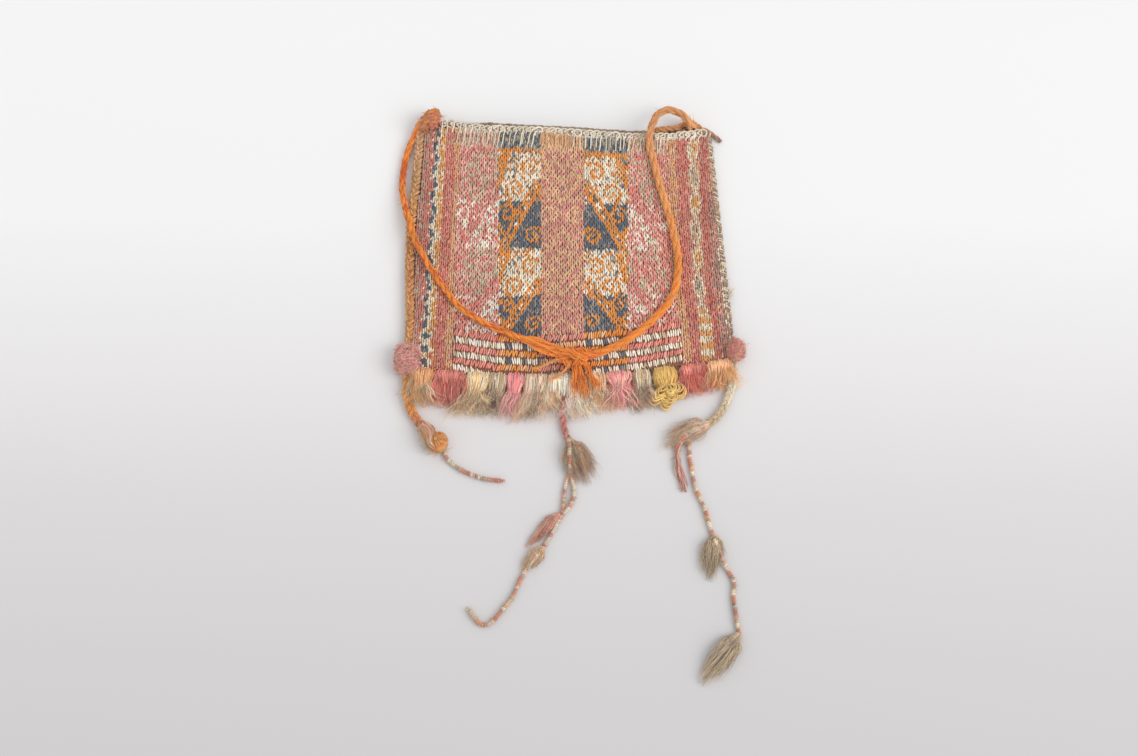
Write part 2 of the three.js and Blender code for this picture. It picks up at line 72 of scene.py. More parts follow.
# Camera: as the photograph was taken, from above and a little in front; the tilt is a guess
shot = {"elevation": 72, "lens": 60, "distance": 0.770, "target": (0, -0.05275, 0)}
camera = bpy.data.objects.new("camera", bpy.data.cameras.new("camera"))
bpy.context.collection.objects.link(camera)
camera.data.lens = shot["lens"]
tilt = math.radians(shot["elevation"])
camera.location = (shot["target"][0], shot["target"][1] - shot["distance"] * math.cos(tilt),
                   shot["distance"] * math.sin(tilt))
camera.rotation_euler = (math.pi / 2 - tilt, 0, 0)
bpy.context.scene.camera = camera
bpy.context.scene.view_settings.view_transform = "Standard"
print("camera placed")


# Materials
def newMaterial(name):
    material = bpy.data.materials.new(name)
    material.use_nodes = True
    material.node_tree.nodes.clear()
    tree = material.node_tree
    shader = addNode(tree, "ShaderNodeBsdfPrincipled")
    addNode(tree, "ShaderNodeOutputMaterial", links={"Surface": shader.outputs[0]})
    return material, tree, shader

noiseSpan = {"From Min": 0.3, "From Max": 0.7}           # where most of a noise's values lie


def dyedWool(name, look):
    material, tree, shader = newMaterial(name)
    for key in ("Roughness", "Sheen Weight", "Sheen Roughness", "Specular IOR Level"):
        shader.inputs[key].default_value = look[key]
    place = addNode(tree, "ShaderNodeTexCoord").outputs["Object"]
    dye = addNode(tree, "ShaderNodeAttribute", {"attribute_name": "yarnColor"}).outputs["Color"]
    fibres = addNode(tree, "ShaderNodeTexNoise", {"Scale": 1 / (look["fibre"] * mm), "Detail": 3.0},
                     {"Vector": place})
    fade = addNode(tree, "ShaderNodeTexNoise", {"Scale": 1 / (look["fade"] * mm), "Detail": 2.0},
                   {"Vector": place})
    # fleck and bump read one noise: darker in the bump's hollows and paler on its crests, partly fibre tone
    # and partly painted shade and painted highlight
    fleckAndShadeSpan = {**noiseSpan, "To Min": look["dark"], "To Max": look["bright"]}
    fleck = addNode(tree, "ShaderNodeMapRange", fleckAndShadeSpan, {"Value": fibres.outputs["Fac"]})
    patch = addNode(tree, "ShaderNodeMapRange", {**noiseSpan, "To Min": 0.92, "To Max": 1.08},
                    {"Value": fade.outputs["Fac"]})
    both = addNode(tree, "ShaderNodeMath", {"operation": "MULTIPLY"},
                   {0: fleck.outputs[0], 1: patch.outputs[0]})
    colour = addNode(tree, "ShaderNodeVectorMath", {"operation": "SCALE"},
                     {"Vector": dye, "Scale": both.outputs[0]})
    bump = addNode(tree, "ShaderNodeBump", {"Strength": look["bump"], "Distance": look["fibre"] * mm},
                   {"Height": fibres.outputs["Fac"]})
    tree.links.new(colour.outputs[0], shader.inputs["Base Color"])
    tree.links.new(bump.outputs[0], shader.inputs["Normal"])
    return material


# handspun wool, twisted hard: matt, a soft bloom at its edges, darker flecks that follow the fibre bump:
# partly fibre tone, partly painted shade in its hollows
handspunWool = dyedWool("handspun_wool", {
    "Roughness": 0.88, "Sheen Weight": 0.2, "Sheen Roughness": 0.5, "Specular IOR Level": 0.25,
    "fibre": 0.45, "fade": 9, "dark": 0.8, "bright": 1.14, "bump": 0.5})
# combed wool, loose: silky strands, more sheen and less fleck
looseWool = dyedWool("loose_wool", {
    "Roughness": 0.8, "Sheen Weight": 0.45, "Sheen Roughness": 0.4, "Specular IOR Level": 0.3,
    "fibre": 0.6, "fade": 5, "dark": 0.96, "bright": 1.36, "bump": 0.3})
# warp floats of the cloth: fine two-ply yarn worn smooth, paler where it is rubbed
warpWool = dyedWool("warp_wool", {
    "Roughness": 0.9, "Sheen Weight": 0.15, "Sheen Roughness": 0.5, "Specular IOR Level": 0.2,
    "fibre": 0.55, "fade": 12, "dark": 0.78, "bright": 1.16, "bump": 0.4})


# Geometry Nodes
def newTree(name, inputs):
    tree = bpy.data.node_groups.new(name, "GeometryNodeTree")
    tree.interface.new_socket("Geometry", in_out="INPUT", socket_type="NodeSocketGeometry")
    for label, kind in inputs.items():
        tree.interface.new_socket(label, in_out="INPUT", socket_type="NodeSocket" + kind)
    tree.interface.new_socket("Geometry", in_out="OUTPUT", socket_type="NodeSocketGeometry")
    return tree, addNode(tree, "NodeGroupInput").outputs


def endTree(tree, geometry, given):
    smooth = addNode(tree, "GeometryNodeSetShadeSmooth", links={0: geometry})
    real = addNode(tree, "GeometryNodeRealizeInstances", links={0: smooth.outputs[0]})
    dressed = addNode(tree, "GeometryNodeSetMaterial",
                      links={0: real.outputs[0], "Material": given["Material"]})
    addNode(tree, "NodeGroupOutput", links={0: dressed.outputs[0]})


def fieldNode(tree, kind, name):
    return addNode(tree, "GeometryNodeInputNamedAttribute", {"data_type": kind, "Name": name}).outputs[0]


yarnTree, given = newTree("yarn_tubes", {"Sides": "Int", "Material": "Material"})
thickness = fieldNode(yarnTree, "FLOAT", "yarnRadius")
lines = addNode(yarnTree, "GeometryNodeMeshToCurve", links={"Mesh": given["Geometry"]})
ring = addNode(yarnTree, "GeometryNodeCurvePrimitiveCircle", {"Radius": 1.0}, {"Resolution": given["Sides"]})
tubes = addNode(yarnTree, "GeometryNodeCurveToMesh", {"Fill Caps": True}, {
    "Curve": lines.outputs[0], "Profile Curve": ring.outputs[0], "Scale": thickness})
endTree(yarnTree, tubes.outputs[0], given)

floatTree, given = newTree("warp_floats", {"Sides": "Int", "Rings": "Int", "Material": "Material"})
along, outward, size = (fieldNode(floatTree, "FLOAT_VECTOR", name)
                        for name in ("floatAlong", "floatOut", "floatSize"))
dots = addNode(floatTree, "GeometryNodeMeshToPoints", links={"Mesh": given["Geometry"]})
grain = addNode(floatTree, "GeometryNodeMeshUVSphere", {"Radius": 1.0},
                {"Segments": given["Sides"], "Rings": given["Rings"]})
turned = addNode(floatTree, "FunctionNodeAxesToRotation", {"primary_axis": "Z", "secondary_axis": "X"},
                 {0: along, 1: outward})
grains = addNode(floatTree, "GeometryNodeInstanceOnPoints", links={
    "Points": dots.outputs[0], "Instance": grain.outputs["Mesh"], "Rotation": turned.outputs[0],
    "Scale": size})
endTree(floatTree, grains.outputs[0], given)


def baked(name, mesh, tree, values):
    piece = bpy.data.objects.new(name, mesh)
    bpy.context.collection.objects.link(piece)
    modifier = piece.modifiers.new(tree.name, "NODES")
    modifier.node_group = tree
    for socket in tree.interface.items_tree:
        if socket.in_out == "INPUT" and socket.name in values:
            modifier[socket.identifier] = values[socket.name]
    graph = bpy.context.evaluated_depsgraph_get()
    plain = bpy.data.meshes.new_from_object(piece.evaluated_get(graph), preserve_all_data_layers=True,
                                            depsgraph=graph)
    piece.modifiers.clear()
    piece.data = plain
    plain.name = name
    bpy.data.meshes.remove(mesh)
    return piece


def pointMesh(name, points, edges, fields):
    mesh = bpy.data.meshes.new(name + "_points")
    mesh.vertices.add(len(points))
    mesh.vertices.foreach_set("co", (points * mm).astype(np.float32).ravel())
    if len(edges):
        mesh.edges.add(len(edges))
        mesh.edges.foreach_set("vertices", np.asarray(edges, dtype=np.int32).ravel())
    for label, kind, slot, values in fields:
        field = mesh.attributes.new(label, kind, "POINT")
        field.data.foreach_set(slot, np.asarray(values, np.float32).ravel())
    return mesh


brightest = 0.95                         # the most light that a bleached dye gives back


def withAlpha(colours):
    keep = np.minimum(1, brightest / colours.max(axis=1, keepdims=True))     # one factor, so the hue stays
    return np.column_stack([colours * keep, np.ones(len(colours))])


def strand(points, radius, colour):
    points = np.asarray(points, float)
    count = len(points)
    return points, np.broadcast_to(radius, count), np.broadcast_to(colour, (count, 3))


def yarnPiece(name, strands, sides=5, material=handspunWool):
    counts = [len(points) for points, _, _ in strands]
    starts = np.concatenate([[0], np.cumsum(counts)[:-1]])
    edges = np.concatenate([np.column_stack([np.arange(start, start + count - 1),
                                             np.arange(start + 1, start + count)])
                            for start, count in zip(starts, counts)])
    points, radii, colours = (np.concatenate([part[k] for part in strands]) for k in range(3))
    points[:, 2] = np.maximum(points[:, 2], radii)       # no yarn sinks into the table
    mesh = pointMesh(name, points, edges, [
        ("yarnRadius", "FLOAT", "value", radii * mm),
        ("yarnColor", "FLOAT_COLOR", "color", withAlpha(colours))])
    return baked(name, mesh, yarnTree, {"Sides": sides, "Material": material})


def finishPiece(piece, slot, *nodes):
    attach(piece, "root")
    if nodes:
        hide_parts(*nodes)
    return piece


# Lines and yarns
def unit(vectors):
    return vectors / np.maximum(np.linalg.norm(vectors, axis=-1, keepdims=True), 1e-9)


def measured(line):
    return np.concatenate([[0], np.cumsum(np.linalg.norm(np.diff(line, axis=0), axis=1))])


def evenly(line, step):
    run = measured(line)
    count = max(3, round(run[-1] / step))
    at = np.linspace(0, run[-1], count + 1)
    return np.column_stack([np.interp(at, run, line[:, k]) for k in range(3)])


def smoothLine(route, step):               # a curve through every point of a route, in even steps
    points = np.array(route, float)
    points = np.vstack([2 * points[0] - points[1], points, 2 * points[-1] - points[-2]])
    t = np.linspace(0, 1, 20, endpoint=False)[:, None]
    parts = []
    for before, start, end, after in zip(points, points[1:], points[2:], points[3:]):
        leave, arrive = (end - before) / 2, (after - start) / 2
        parts.append((2 * t ** 3 - 3 * t ** 2 + 1) * start + (t ** 3 - 2 * t ** 2 + t) * leave
                     + (3 * t ** 2 - 2 * t ** 3) * end + (t ** 3 - t ** 2) * arrive)
    return evenly(np.vstack([*parts, points[-2:-1]]), step)


def bases(line):
    tangent = unit(np.gradient(line, axis=0))
    side = np.cross(up, tangent)
    upright = np.linalg.norm(side, axis=1) < 0.05
    side[upright] = np.cross(yAxis, tangent[upright])
    side = unit(side)
    return tangent, side, np.cross(tangent, side)


def beside(line, across, lift):
    _, side, rise = bases(line)
    return line + np.reshape(across, (-1, 1)) * side + np.reshape(lift, (-1, 1)) * rise


def around(line, reach, angle):
    return beside(line, reach * np.cos(angle), reach * np.sin(angle))


def uneven(colour, rng, spread, count=1):  # one yarn's own tone, with slow streaks along it
    knots = max(2, count // 6)
    streak = np.interp(np.linspace(0, 1, count), np.linspace(0, 1, knots), rng.normal(0, spread * 0.6, knots))
    return np.asarray(colour) * np.reshape(1 + rng.normal(0, spread) + streak, (-1, 1))


def blendDyes(run, stops):
    share = run / run[-1]
    places = [place for place, _ in stops]
    return np.column_stack([np.interp(share, places, [dyes[dye][k] for _, dye in stops]) for k in range(3)])


fleckLong = 0.16                         # share of a cord along which a stray dyed yarn shows


def pliedCord(line, spec, rng, stops):
    run = measured(line)
    share = run / run[-1]
    colour = blendDyes(run, stops)
    strands = []
    for ply in range(spec["plies"]):
        sway = 1 + spec["loose"] * np.sin(run / spec["pitch"] * 1.7 + ply * 2.1)
        turn = fullTurn * (run / spec["pitch"] + ply / spec["plies"])
        core = around(line, (spec["radius"] - spec["ply"]) * sway, turn)
        for yarn in range(spec["yarns"]):
            twist = fullTurn * (yarn / spec["yarns"] - run / spec["twist"])
            points = around(core, spec["ply"] - spec["yarn"], twist)
            tone = uneven(colour, rng, spec["tone"], len(run))
            if rng.random() < spec["fleckShare"]:
                start = rng.random() * 0.8
                inside = (share > start) & (share < start + fleckLong)
                tone = np.where(inside[:, None], dyes[spec["fleck"]], tone)
            strands.append(strand(points, spec["yarn"] * (1 + rng.normal(0, 0.04)), tone))
    return strands


def plaitedCord(line, spec, rng, stops):   # three strands over and under, each of four yarns
    run = measured(line)
    colour = blendDyes(run, stops)
    strands = []
    for k in range(3):
        phase = fullTurn * (run / spec["pitch"] + k / 3)
        core = beside(line, spec["sway"] * np.sin(phase), spec["lift"] * np.sin(2 * phase))
        for yarn in range(4):
            turn = fullTurn * (yarn / 4 + run / spec["twist"])
            strands.append(strand(around(core, spec["strand"] - spec["yarn"], turn), spec["yarn"],
                                  uneven(colour, rng, spec["tone"], len(run))))
    return strands


fibre = {"along": 0.8, "stand": 0.5, "stray": 0.25, "root": 0.85, "curve": 0.25, "width": (0.09, 0.04),
         "low": 0.1}


def fuzz(line, reach, count, length, colour, rng):       # short fibres that stand off a cord
    tangent, side, lift = bases(line)
    t = np.linspace(0, 1, 4)[:, None]
    hairs = []
    for _ in range(count):
        k = rng.integers(0, len(line))
        angle = rng.random() * fullTurn
        out = side[k] * math.cos(angle) + lift[k] * math.sin(angle)
        long = length * (0.5 + rng.random())
        lean = tangent[k] * rng.normal(0, fibre["along"]) + out * fibre["stand"]
        lean = lean + rng.normal(0, fibre["stray"], 3)
        points = line[k] + out * reach * fibre["root"] + lean * long * t
        points = points + out * long * fibre["curve"] * t ** 2
        points[:, 2] = np.maximum(points[:, 2], fibre["low"])
        hairs.append(strand(points, np.linspace(*fibre["width"], 4), colour * (1 + rng.normal(0, 0.1))))
    return hairs


# The pouch: the cloth's own places, as in the solid; u runs across it and v from the fold to the mouth
pouch = {"mouthWidth": 118, "foldWidth": 130, "height": 104.7, "seam": 3.4, "cloth": 1.3, "gap": 0.3,
         "mouthShift": -1.7, "mouthDip": 2.6, "mouthTilt": 2.2, "foldBow": 4.6, "foldTilt": 1.9,
         "dent": 1.4, "dentAt": 0.46, "dentWide": 0.33,      # the mouth sinks a little right of its middle
         "rise": 6, "riseShare": 0.25, "risePower": 2.4,     # crown of the front
         "seamMargin": 4, "sunk": 0.5, "backLip": 4.0}


def halfWidth(v):
    return (pouch["foldWidth"] + (pouch["mouthWidth"] - pouch["foldWidth"]) * v) / 2


def foldY(u):
    return -pouch["height"] / 2 + pouch["foldBow"] * u * u + pouch["foldTilt"] * u


def mouthY(u):
    dent = pouch["dent"] * np.exp(-((u - pouch["dentAt"]) / pouch["dentWide"]) ** 2)
    return pouch["height"] / 2 + pouch["mouthDip"] * u * u - pouch["mouthTilt"] * u - dent


def onCloth(u, v, z=0.0):
    u, v, z = np.broadcast_arrays(np.asarray(u, float), np.asarray(v, float), np.asarray(z, float))
    x = u * halfWidth(v) + pouch["mouthShift"] * (v - 0.5)
    return np.stack([x, foldY(u) + (mouthY(u) - foldY(u)) * v, z], axis=-1)


def frontHeight(u, v):
    across = np.maximum(0, 1 - np.abs(u) ** pouch["risePower"])
    share = np.clip(np.asarray(v, float) / pouch["riseShare"], 0, 1)
    return pouch["seam"] + pouch["rise"] * across * np.sin(math.pi / 2 * share)


# Cords first. The strap: two halves laid down the front and knotted above the fold
strapLeft = {"radius": 1.5, "plies": 3, "ply": 0.8, "yarns": 4, "yarn": 0.41, "pitch": 13, "twist": 7,
             "loose": 0.1, "tone": 0.14, "fleck": "ember", "fleckShare": 0.8, "step": 0.7, "seed": 11,
             "fuzz": 110,
             "dyes": ((0, "rust"), (0.14, "orange"), (0.2, "ember"), (0.26, "orange"), (1, "orange"))}
strapRight = {"radius": 1.7, "plies": 3, "ply": 0.94, "yarns": 5, "yarn": 0.42, "pitch": 17, "twist": 9,
              "loose": 0.04, "tone": 0.07, "fleck": "rust", "fleckShare": 0.4, "step": 0.7, "seed": 12,
              "fuzz": 150,
              "dyes": ((0, "rust"), (0.18, "rust"), (0.4, "amber"), (0.62, "orange"), (1, "orange"))}
corner = {"wrapRadius": 4.2, "hitchRadius": 2.8, "hitchLength": 10, "hitchU": 0.87, "edgingHalf": 1.3,
          "tuckRadius": 1.5, "tuckLength": 9, "tuckLift": 1.4, "tuckOverlap": 1.6, "stubRadius": 1.0,
          "braidRadius": 1.9}


def slopeAt(u, v):
    low, high = (onCloth(u, w, frontHeight(u, w)) for w in (v - 0.01, v + 0.01))
    return math.atan2(high[2] - low[2], high[1] - low[1])


def onFront(place, radius):
    u, v, lift = place
    rest = frontHeight(u, v) + pouch["gap"] if abs(u) <= 1 and v <= 1 else 0
    return onCloth(u, v, rest + radius / math.cos(slopeAt(u, v)) + lift)


overBraid = 2 * corner["braidRadius"] + pouch["gap"]
wrapFoot = onCloth(-1, 1) + [1, pouch["gap"], corner["wrapRadius"]]
leftRoute = [wrapFoot + place for place in (
    (0.4, 3.2, 3.6), (-2.6, 1.2, 2.6), (-4.8, -0.4, 0.6), (-6.5, -3.8, -1.6), (-9.0, -10.2, -2.6))]
leftRoute += [onFront(place, strapLeft["radius"]) for place in (
    (-1.148, 0.795, 0.1), (-1.137, 0.713, overBraid * 0.2), (-1.085, 0.605, overBraid * 0.8),
    (-1.016, 0.505, overBraid * 1.05), (-0.925, 0.415, 0.2), (-0.821, 0.329, 0), (-0.704, 0.246, 0),
    (-0.561, 0.19, 0), (-0.406, 0.15, 0), (-0.253, 0.115, 0), (-0.15, 0.092, 0), (-0.085, 0.078, 0.3),
    (-0.03, 0.066, 1.2))]
leftLine = smoothLine(leftRoute, strapLeft["step"])
rng = np.random.default_rng(strapLeft["seed"])
strapLeftPiece = yarnPiece("strap_left_cord", [
    *pliedCord(leftLine, strapLeft, rng, strapLeft["dyes"]),
    *fuzz(leftLine, strapLeft["radius"], strapLeft["fuzz"], 1.4, dyes["orange"], rng)])

mouthOutside = 2 * (pouch["gap"] + corner["edgingHalf"])
hitchOut = mouthOutside + corner["hitchRadius"]
hitchMiddle = onCloth(corner["hitchU"], 1, corner["hitchRadius"]) + [0, hitchOut, 0]
hitchLeft = hitchMiddle - [corner["hitchLength"] / 2 + pouch["gap"], 0, 0]
hitchRight = hitchMiddle + [corner["hitchLength"] / 2 + pouch["gap"], 0, 0]
overHitch = corner["hitchRadius"] + pouch["gap"] + strapRight["radius"]
rightRoute = [hitchLeft + [x, y, overHitch + z] for x, y, z in (
    (6.6, -1.8, -2.6), (4.6, 0.8, -0.2), (2.2, 3.2, 0), (-0.9, 4.9, 0), (-4.4, 5.1, 0.4), (-7.6, 2.9, 1),
    (-9.8, -1.0, 1.8))]
rightRoute += [onFront(place, strapRight["radius"]) for place in (
    (0.578, 0.973, 1.2), (0.596, 0.897, 0), (0.638, 0.756, 0), (0.675, 0.649, 0), (0.703, 0.542, 0),
    (0.717, 0.436, 0), (0.694, 0.342, 0), (0.646, 0.27, 0), (0.562, 0.211, 0), (0.45, 0.152, 0),
    (0.324, 0.105, 0), (0.215, 0.077, 0), (0.135, 0.062, 0.2), (0.06, 0.06, 1.2))]
rightLine = smoothLine(rightRoute, strapRight["step"])
rng = np.random.default_rng(strapRight["seed"])
strapRightPiece = yarnPiece("strap_right_cord", [
    *pliedCord(rightLine, strapRight, rng, strapRight["dyes"]),
    *fuzz(rightLine, strapRight["radius"], strapRight["fuzz"], 1.2, dyes["orange"], rng)])


# Strap ends at the mouth: the left one wound round the corner, the right one hitched behind the mouth
winding = {"seed": 13, "layers": (         # foot, radius, length, turns, cord's radius, two dyes, slant
    ((0.3, -1.0, 0.7), 4.9, 5.6, 3.2, 1.45, ("sienna", "clay"), 0.55),
    ((0.6, -1.8, 0.4), 3.7, 6.2, 3.4, 1.4, ("sienna", "rust"), 0.55),
    ((0, 0.4, 0), 1.9, 6.6, 4, 1, ("rust", "rust"), 0))}
woundCord = {"plies": 2, "yarns": 3, "pitch": 6, "twist": 4, "loose": 0.05, "tone": 0.1, "fleck": "mauve",
             "fleckShare": 0.35, "fuzz": 120}
endCord = {"plies": 3, "yarns": 3, "pitch": 9, "twist": 5, "loose": 0.05, "tone": 0.1, "fleck": "mauve",
           "fleckShare": 0.2}


def coil(foot, axis, radius, length, turns, cordRadius, mix, shear, rng):
    t = np.linspace(0, 1, int(turns * 22))
    flank = np.cross(axis, up)
    angle = fullTurn * turns * t
    reach = (radius - cordRadius) * (1 + 0.05 * np.sin(9 * t + 1))
    line = foot + np.outer(t * length + shear * reach * np.sin(angle), axis)
    line += np.outer(reach * np.cos(angle), up) + np.outer(reach * np.sin(angle), flank)
    spec = {**woundCord, "radius": cordRadius, "ply": cordRadius * 0.6, "yarn": cordRadius * 0.33}
    strands = pliedCord(line, spec, rng, [(0, mix[0]), (0.35, mix[1]), (0.65, mix[0]), (1, mix[1])])
    return strands + fuzz(line, cordRadius, woundCord["fuzz"], 1.4, dyes[mix[0]], rng)


def endStrands(line, radius, rng, first, last):
    spec = {**endCord, "radius": radius, "ply": radius * 0.56, "yarn": radius * 0.3}
    return pliedCord(line, spec, rng, [(0, first), (1, last)])


rng = np.random.default_rng(winding["seed"])
strands = []
for foot, *shape in winding["layers"]:
    strands += coil(wrapFoot + foot, yAxis, *shape, rng)
windingPiece = yarnPiece("strap_left_winding", strands)
tuckStart, tuckEnd = (corner["hitchU"] - (corner["hitchLength"] / 2 + reach) / halfWidth(1)
                      for reach in (2 * pouch["gap"] - corner["tuckOverlap"], corner["tuckLength"]))
tuckUp = corner["tuckRadius"] + corner["tuckLift"]
tuckOut = mouthOutside + corner["tuckRadius"] + corner["tuckLift"] / 2
tuckLine = smoothLine([onCloth(u, 1, tuckUp) + [0, tuckOut, 0]
                       for u in np.linspace(tuckStart, tuckEnd, 4)], 0.6)
stubLine = smoothLine([hitchRight + [x, y, corner["stubRadius"] - corner["hitchRadius"]]
                       for x, y in ((-1.2, 0), (2.0, -0.9), (5.2, -3.2), (8.4, -6.2))], 0.5)
throughLine = smoothLine([tuckLine[1], hitchMiddle + [-2, 0.7, -0.3], hitchMiddle + [2, 0.7, -0.6],
                          stubLine[2]], 0.5)
hitchPiece = yarnPiece("strap_right_hitching", [
    *endStrands(throughLine, 1.5, rng, "rust", "rust"),
    *coil(hitchMiddle + [-1.6, 0.7, 0], xAxis, corner["hitchRadius"] + 0.3, 4.4, 1.7, 1.5,
          ("rust", "rust"), 0.7, rng)])
tuckPiece = yarnPiece("strap_right_tuck_cord",
                      endStrands(tuckLine, corner["tuckRadius"], rng, "rust", "rust"))
stubPiece = yarnPiece("strap_right_stub_cord",
                      endStrands(stubLine, corner["stubRadius"], rng, "rust", "cocoa"))

# The knot: both strap ends wind through each other, and three frayed ends come out of it
knot = {"place": (0.019, 0.057), "radius": 3.0, "tube": 1.05, "stretch": (1.55, 1.05, 1.0), "bundle": 1.35,
        "yarns": 9, "yarn": 0.38, "twist": 16, "bleach": 1.1, "seed": 14, "untwisted": 12, "tail": 0.9,
        "tailYarns": 9, "brush": 46, "tuftTop": 5.5,
        "ends": (("left", -1.5, 0.2, -8.6), ("middle", -1.15, 2.2, -10.4), ("right", -0.6, 4.1, -9))}
knotSlope = slopeAt(*knot["place"])
knotRise = (knot["radius"] / 2 + knot["tube"]) / math.cos(knotSlope)
knotMiddle = onCloth(*knot["place"], frontHeight(*knot["place"]) + pouch["gap"] + knotRise)
rng = np.random.default_rng(knot["seed"])
lean = np.array([[1, 0, 0], [0, math.cos(knotSlope), -math.sin(knotSlope)],
                 [0, math.sin(knotSlope), math.cos(knotSlope)]])
passes = [                                 # the way each strap end takes in the knot, from its middle
    ((-6.4, 1.2, -0.4), (-3.2, 1.3, 0.6), (0.2, 0.2, 1.7), (3.0, -0.4, 1.0), (3.6, 1.4, -0.3),
     (1.2, 2.2, -0.9), (-1.6, 1.0, -0.8), (-2.2, -1.4, 0.0), (-0.8, -3.4, 0.2)),
    ((6.6, 1.6, -0.2), (3.4, 0.6, 0.4), (0.4, 1.0, 1.3), (-2.6, 0.9, 1.0), (-4.0, -0.4, 0.0),
     (-2.4, -1.8, -0.6), (0.4, -1.2, 0.3), (2.2, -3.0, 0.2)),
    ((-1.0, 2.8, -0.8), (0.3, 2.0, 1.0), (0.9, 0.2, 2.2), (0.6, -1.6, 1.5), (0.3, -3.2, 0.2)),
    ((-4.6, 2.0, -0.2), (-1.2, 2.0, 1.2), (2.2, 0.8, 1.5), (4.8, 0.4, 0.2))]
slips = [                                  # two loose yarns that slip out to the left
    ((-2, -0.4, 0.4), (-7, -1.4, 0.2), (-12, -3.6, -0.8), (-16.5, -4.6, -1.8)),
    ((-1, -2, 0), (-3.6, -5.4, -0.6), (-7, -8.2, -1.6), (-10.6, -9.6, -2.4))]
knotStrands = []
for number, route in enumerate(passes):
    line = smoothLine(np.array(route) * knot["stretch"] @ lean.T + knotMiddle, 0.5)
    run = measured(line)
    for yarn in range(knot["yarns"]):
        turn = fullTurn * (yarn / knot["yarns"] + run / knot["twist"])
        reach = knot["bundle"] * (0.8 if yarn % 2 else 0.45) * (1 + 0.25 * np.sin(run * 0.7 + yarn))
        dye = "ember" if (yarn + number) % 6 == 2 else "orange"
        tone = uneven(dyes[dye], rng, 0.1, len(line)) * knot["bleach"]
        knotStrands.append(strand(around(line, reach, turn), knot["yarn"], tone))
    knotStrands += fuzz(line, knot["tube"], 40, 1.6, dyes["orange"], rng)
for route in slips:
    line = smoothLine(knotMiddle + np.array(route), 0.6)
    for yarn in range(3):
        points = around(line, 0.3, measured(line) * 1.1 + yarn * 2.1)
        tone = uneven(dyes["amber"], rng, 0.1, len(line))
        knotStrands.append(strand(points, np.linspace(0.3, 0.2, len(line)), tone))
    knotStrands += fuzz(line, 0.4, 40, 1.6, dyes["amber"], rng)
opening = leftLine[-30:]                   # the left half loses its twist as it comes to the knot
run = measured(opening) / measured(opening)[-1]
for yarn in range(knot["untwisted"]):
    aside = 2 * yarn / (knot["untwisted"] - 1) - 1
    spread = aside * np.interp(run, [0, 0.35, 0.8, 1], [0.9, 2.2, 2.6, 1.0]) + 0.3 * np.sin(run * 9 + yarn)
    lift = np.interp(run, [0, 0.2, 1], [0.9, 1.3, 0.8]) - 0.5 * abs(aside)
    tone = uneven(dyes["ember" if yarn in (3, 8) else "orange"], rng, 0.1, len(run))
    knotStrands.append(strand(beside(opening, spread, lift), 0.34, tone))
knotPiece = yarnPiece("front_knot_tangle", knotStrands)

knotReach = 1.5 * knot["radius"] + knot["tube"] + pouch["gap"]
for name, heading, drift, drop in knot["ends"]:
    start = np.array([knotMiddle[0] + knotReach * math.cos(heading),
                      knotMiddle[1] + knotReach * math.sin(heading) * math.cos(knotSlope),
                      knot["tuftTop"] + pouch["gap"] + knot["tail"]])
    root = knotMiddle + (start - knotMiddle) * 0.35
    end = start + [drift, drop, -0.6]
    middle = smoothLine([root, start, start + [drift / 2, drop / 2, 0.4], end], 0.6)
    run = measured(middle)
    opened = np.interp(run / run[-1], [0, 0.45, 1], [0.6, 1.1, 1.9])        # the yarns part towards the end
    strands = []
    for yarn in range(knot["tailYarns"]):
        aside = (yarn + 0.5) / knot["tailYarns"] * 2 - 1 + rng.normal(0, 0.1)
        phase = rng.random() * fullTurn
        across = aside * opened + 0.55 * np.sin(run * 0.75 + phase) * run / run[-1]
        line = beside(middle, across, 0.5 * np.cos(phase + run * 0.5))
        line = line[:len(run) - rng.integers(0, 10)]
        tone = uneven(dyes["ember" if yarn % 4 == 2 else "orange"], rng, 0.1, len(line))
        strands.append(strand(line, np.linspace(0.33, 0.18, len(line)), tone))
    for _ in range(knot["brush"]):         # fibres of the frayed end
        k = rng.integers(len(run) // 2, len(run) - 1)
        t = np.linspace(0, 1, 5)[:, None]
        out = rng.normal(0, 1, 3) * [1.2, 0.5, 0.7]
        points = middle[k] + out * 0.4 + ((end - middle[k // 2]) * 0.3 + out * 0.7) * t
        points += rng.normal(0, 0.5, 3) * t ** 2
        points[:, 2] = np.maximum(points[:, 2], 1.0)
        strands.append(strand(points, np.linspace(0.1, 0.04, 5), uneven(dyes["orange"], rng, 0.1, 5)))
    finishPiece(yarnPiece(f"knot_end_{name}", strands), "orange_wool", f"knot_tail_{name}")

finishPiece(strapLeftPiece, "orange_wool", "strap_left")
finishPiece(strapRightPiece, "orange_wool", "strap_right")
finishPiece(windingPiece, "russet_wool", "strap_left_wrap")
finishPiece(hitchPiece, "russet_wool", "strap_right_hitch")
finishPiece(tuckPiece, "russet_wool", "strap_right_tuck")
finishPiece(stubPiece, "russet_wool", "strap_right_stub")
finishPiece(knotPiece, "orange_wool", "front_knot")
print("strap made")

# Tassels and the three tails
tassels = {"fibres": 700, "yarns": 4, "bleach": 1.06, "locks": 16, "lockLong": (0.66, 1.14), "lockLean": 0.3,
           "clump": 0.8, "at": (0, 0.09, 0.2, 0.42, 0.78, 1), "neckAt": 0.19}


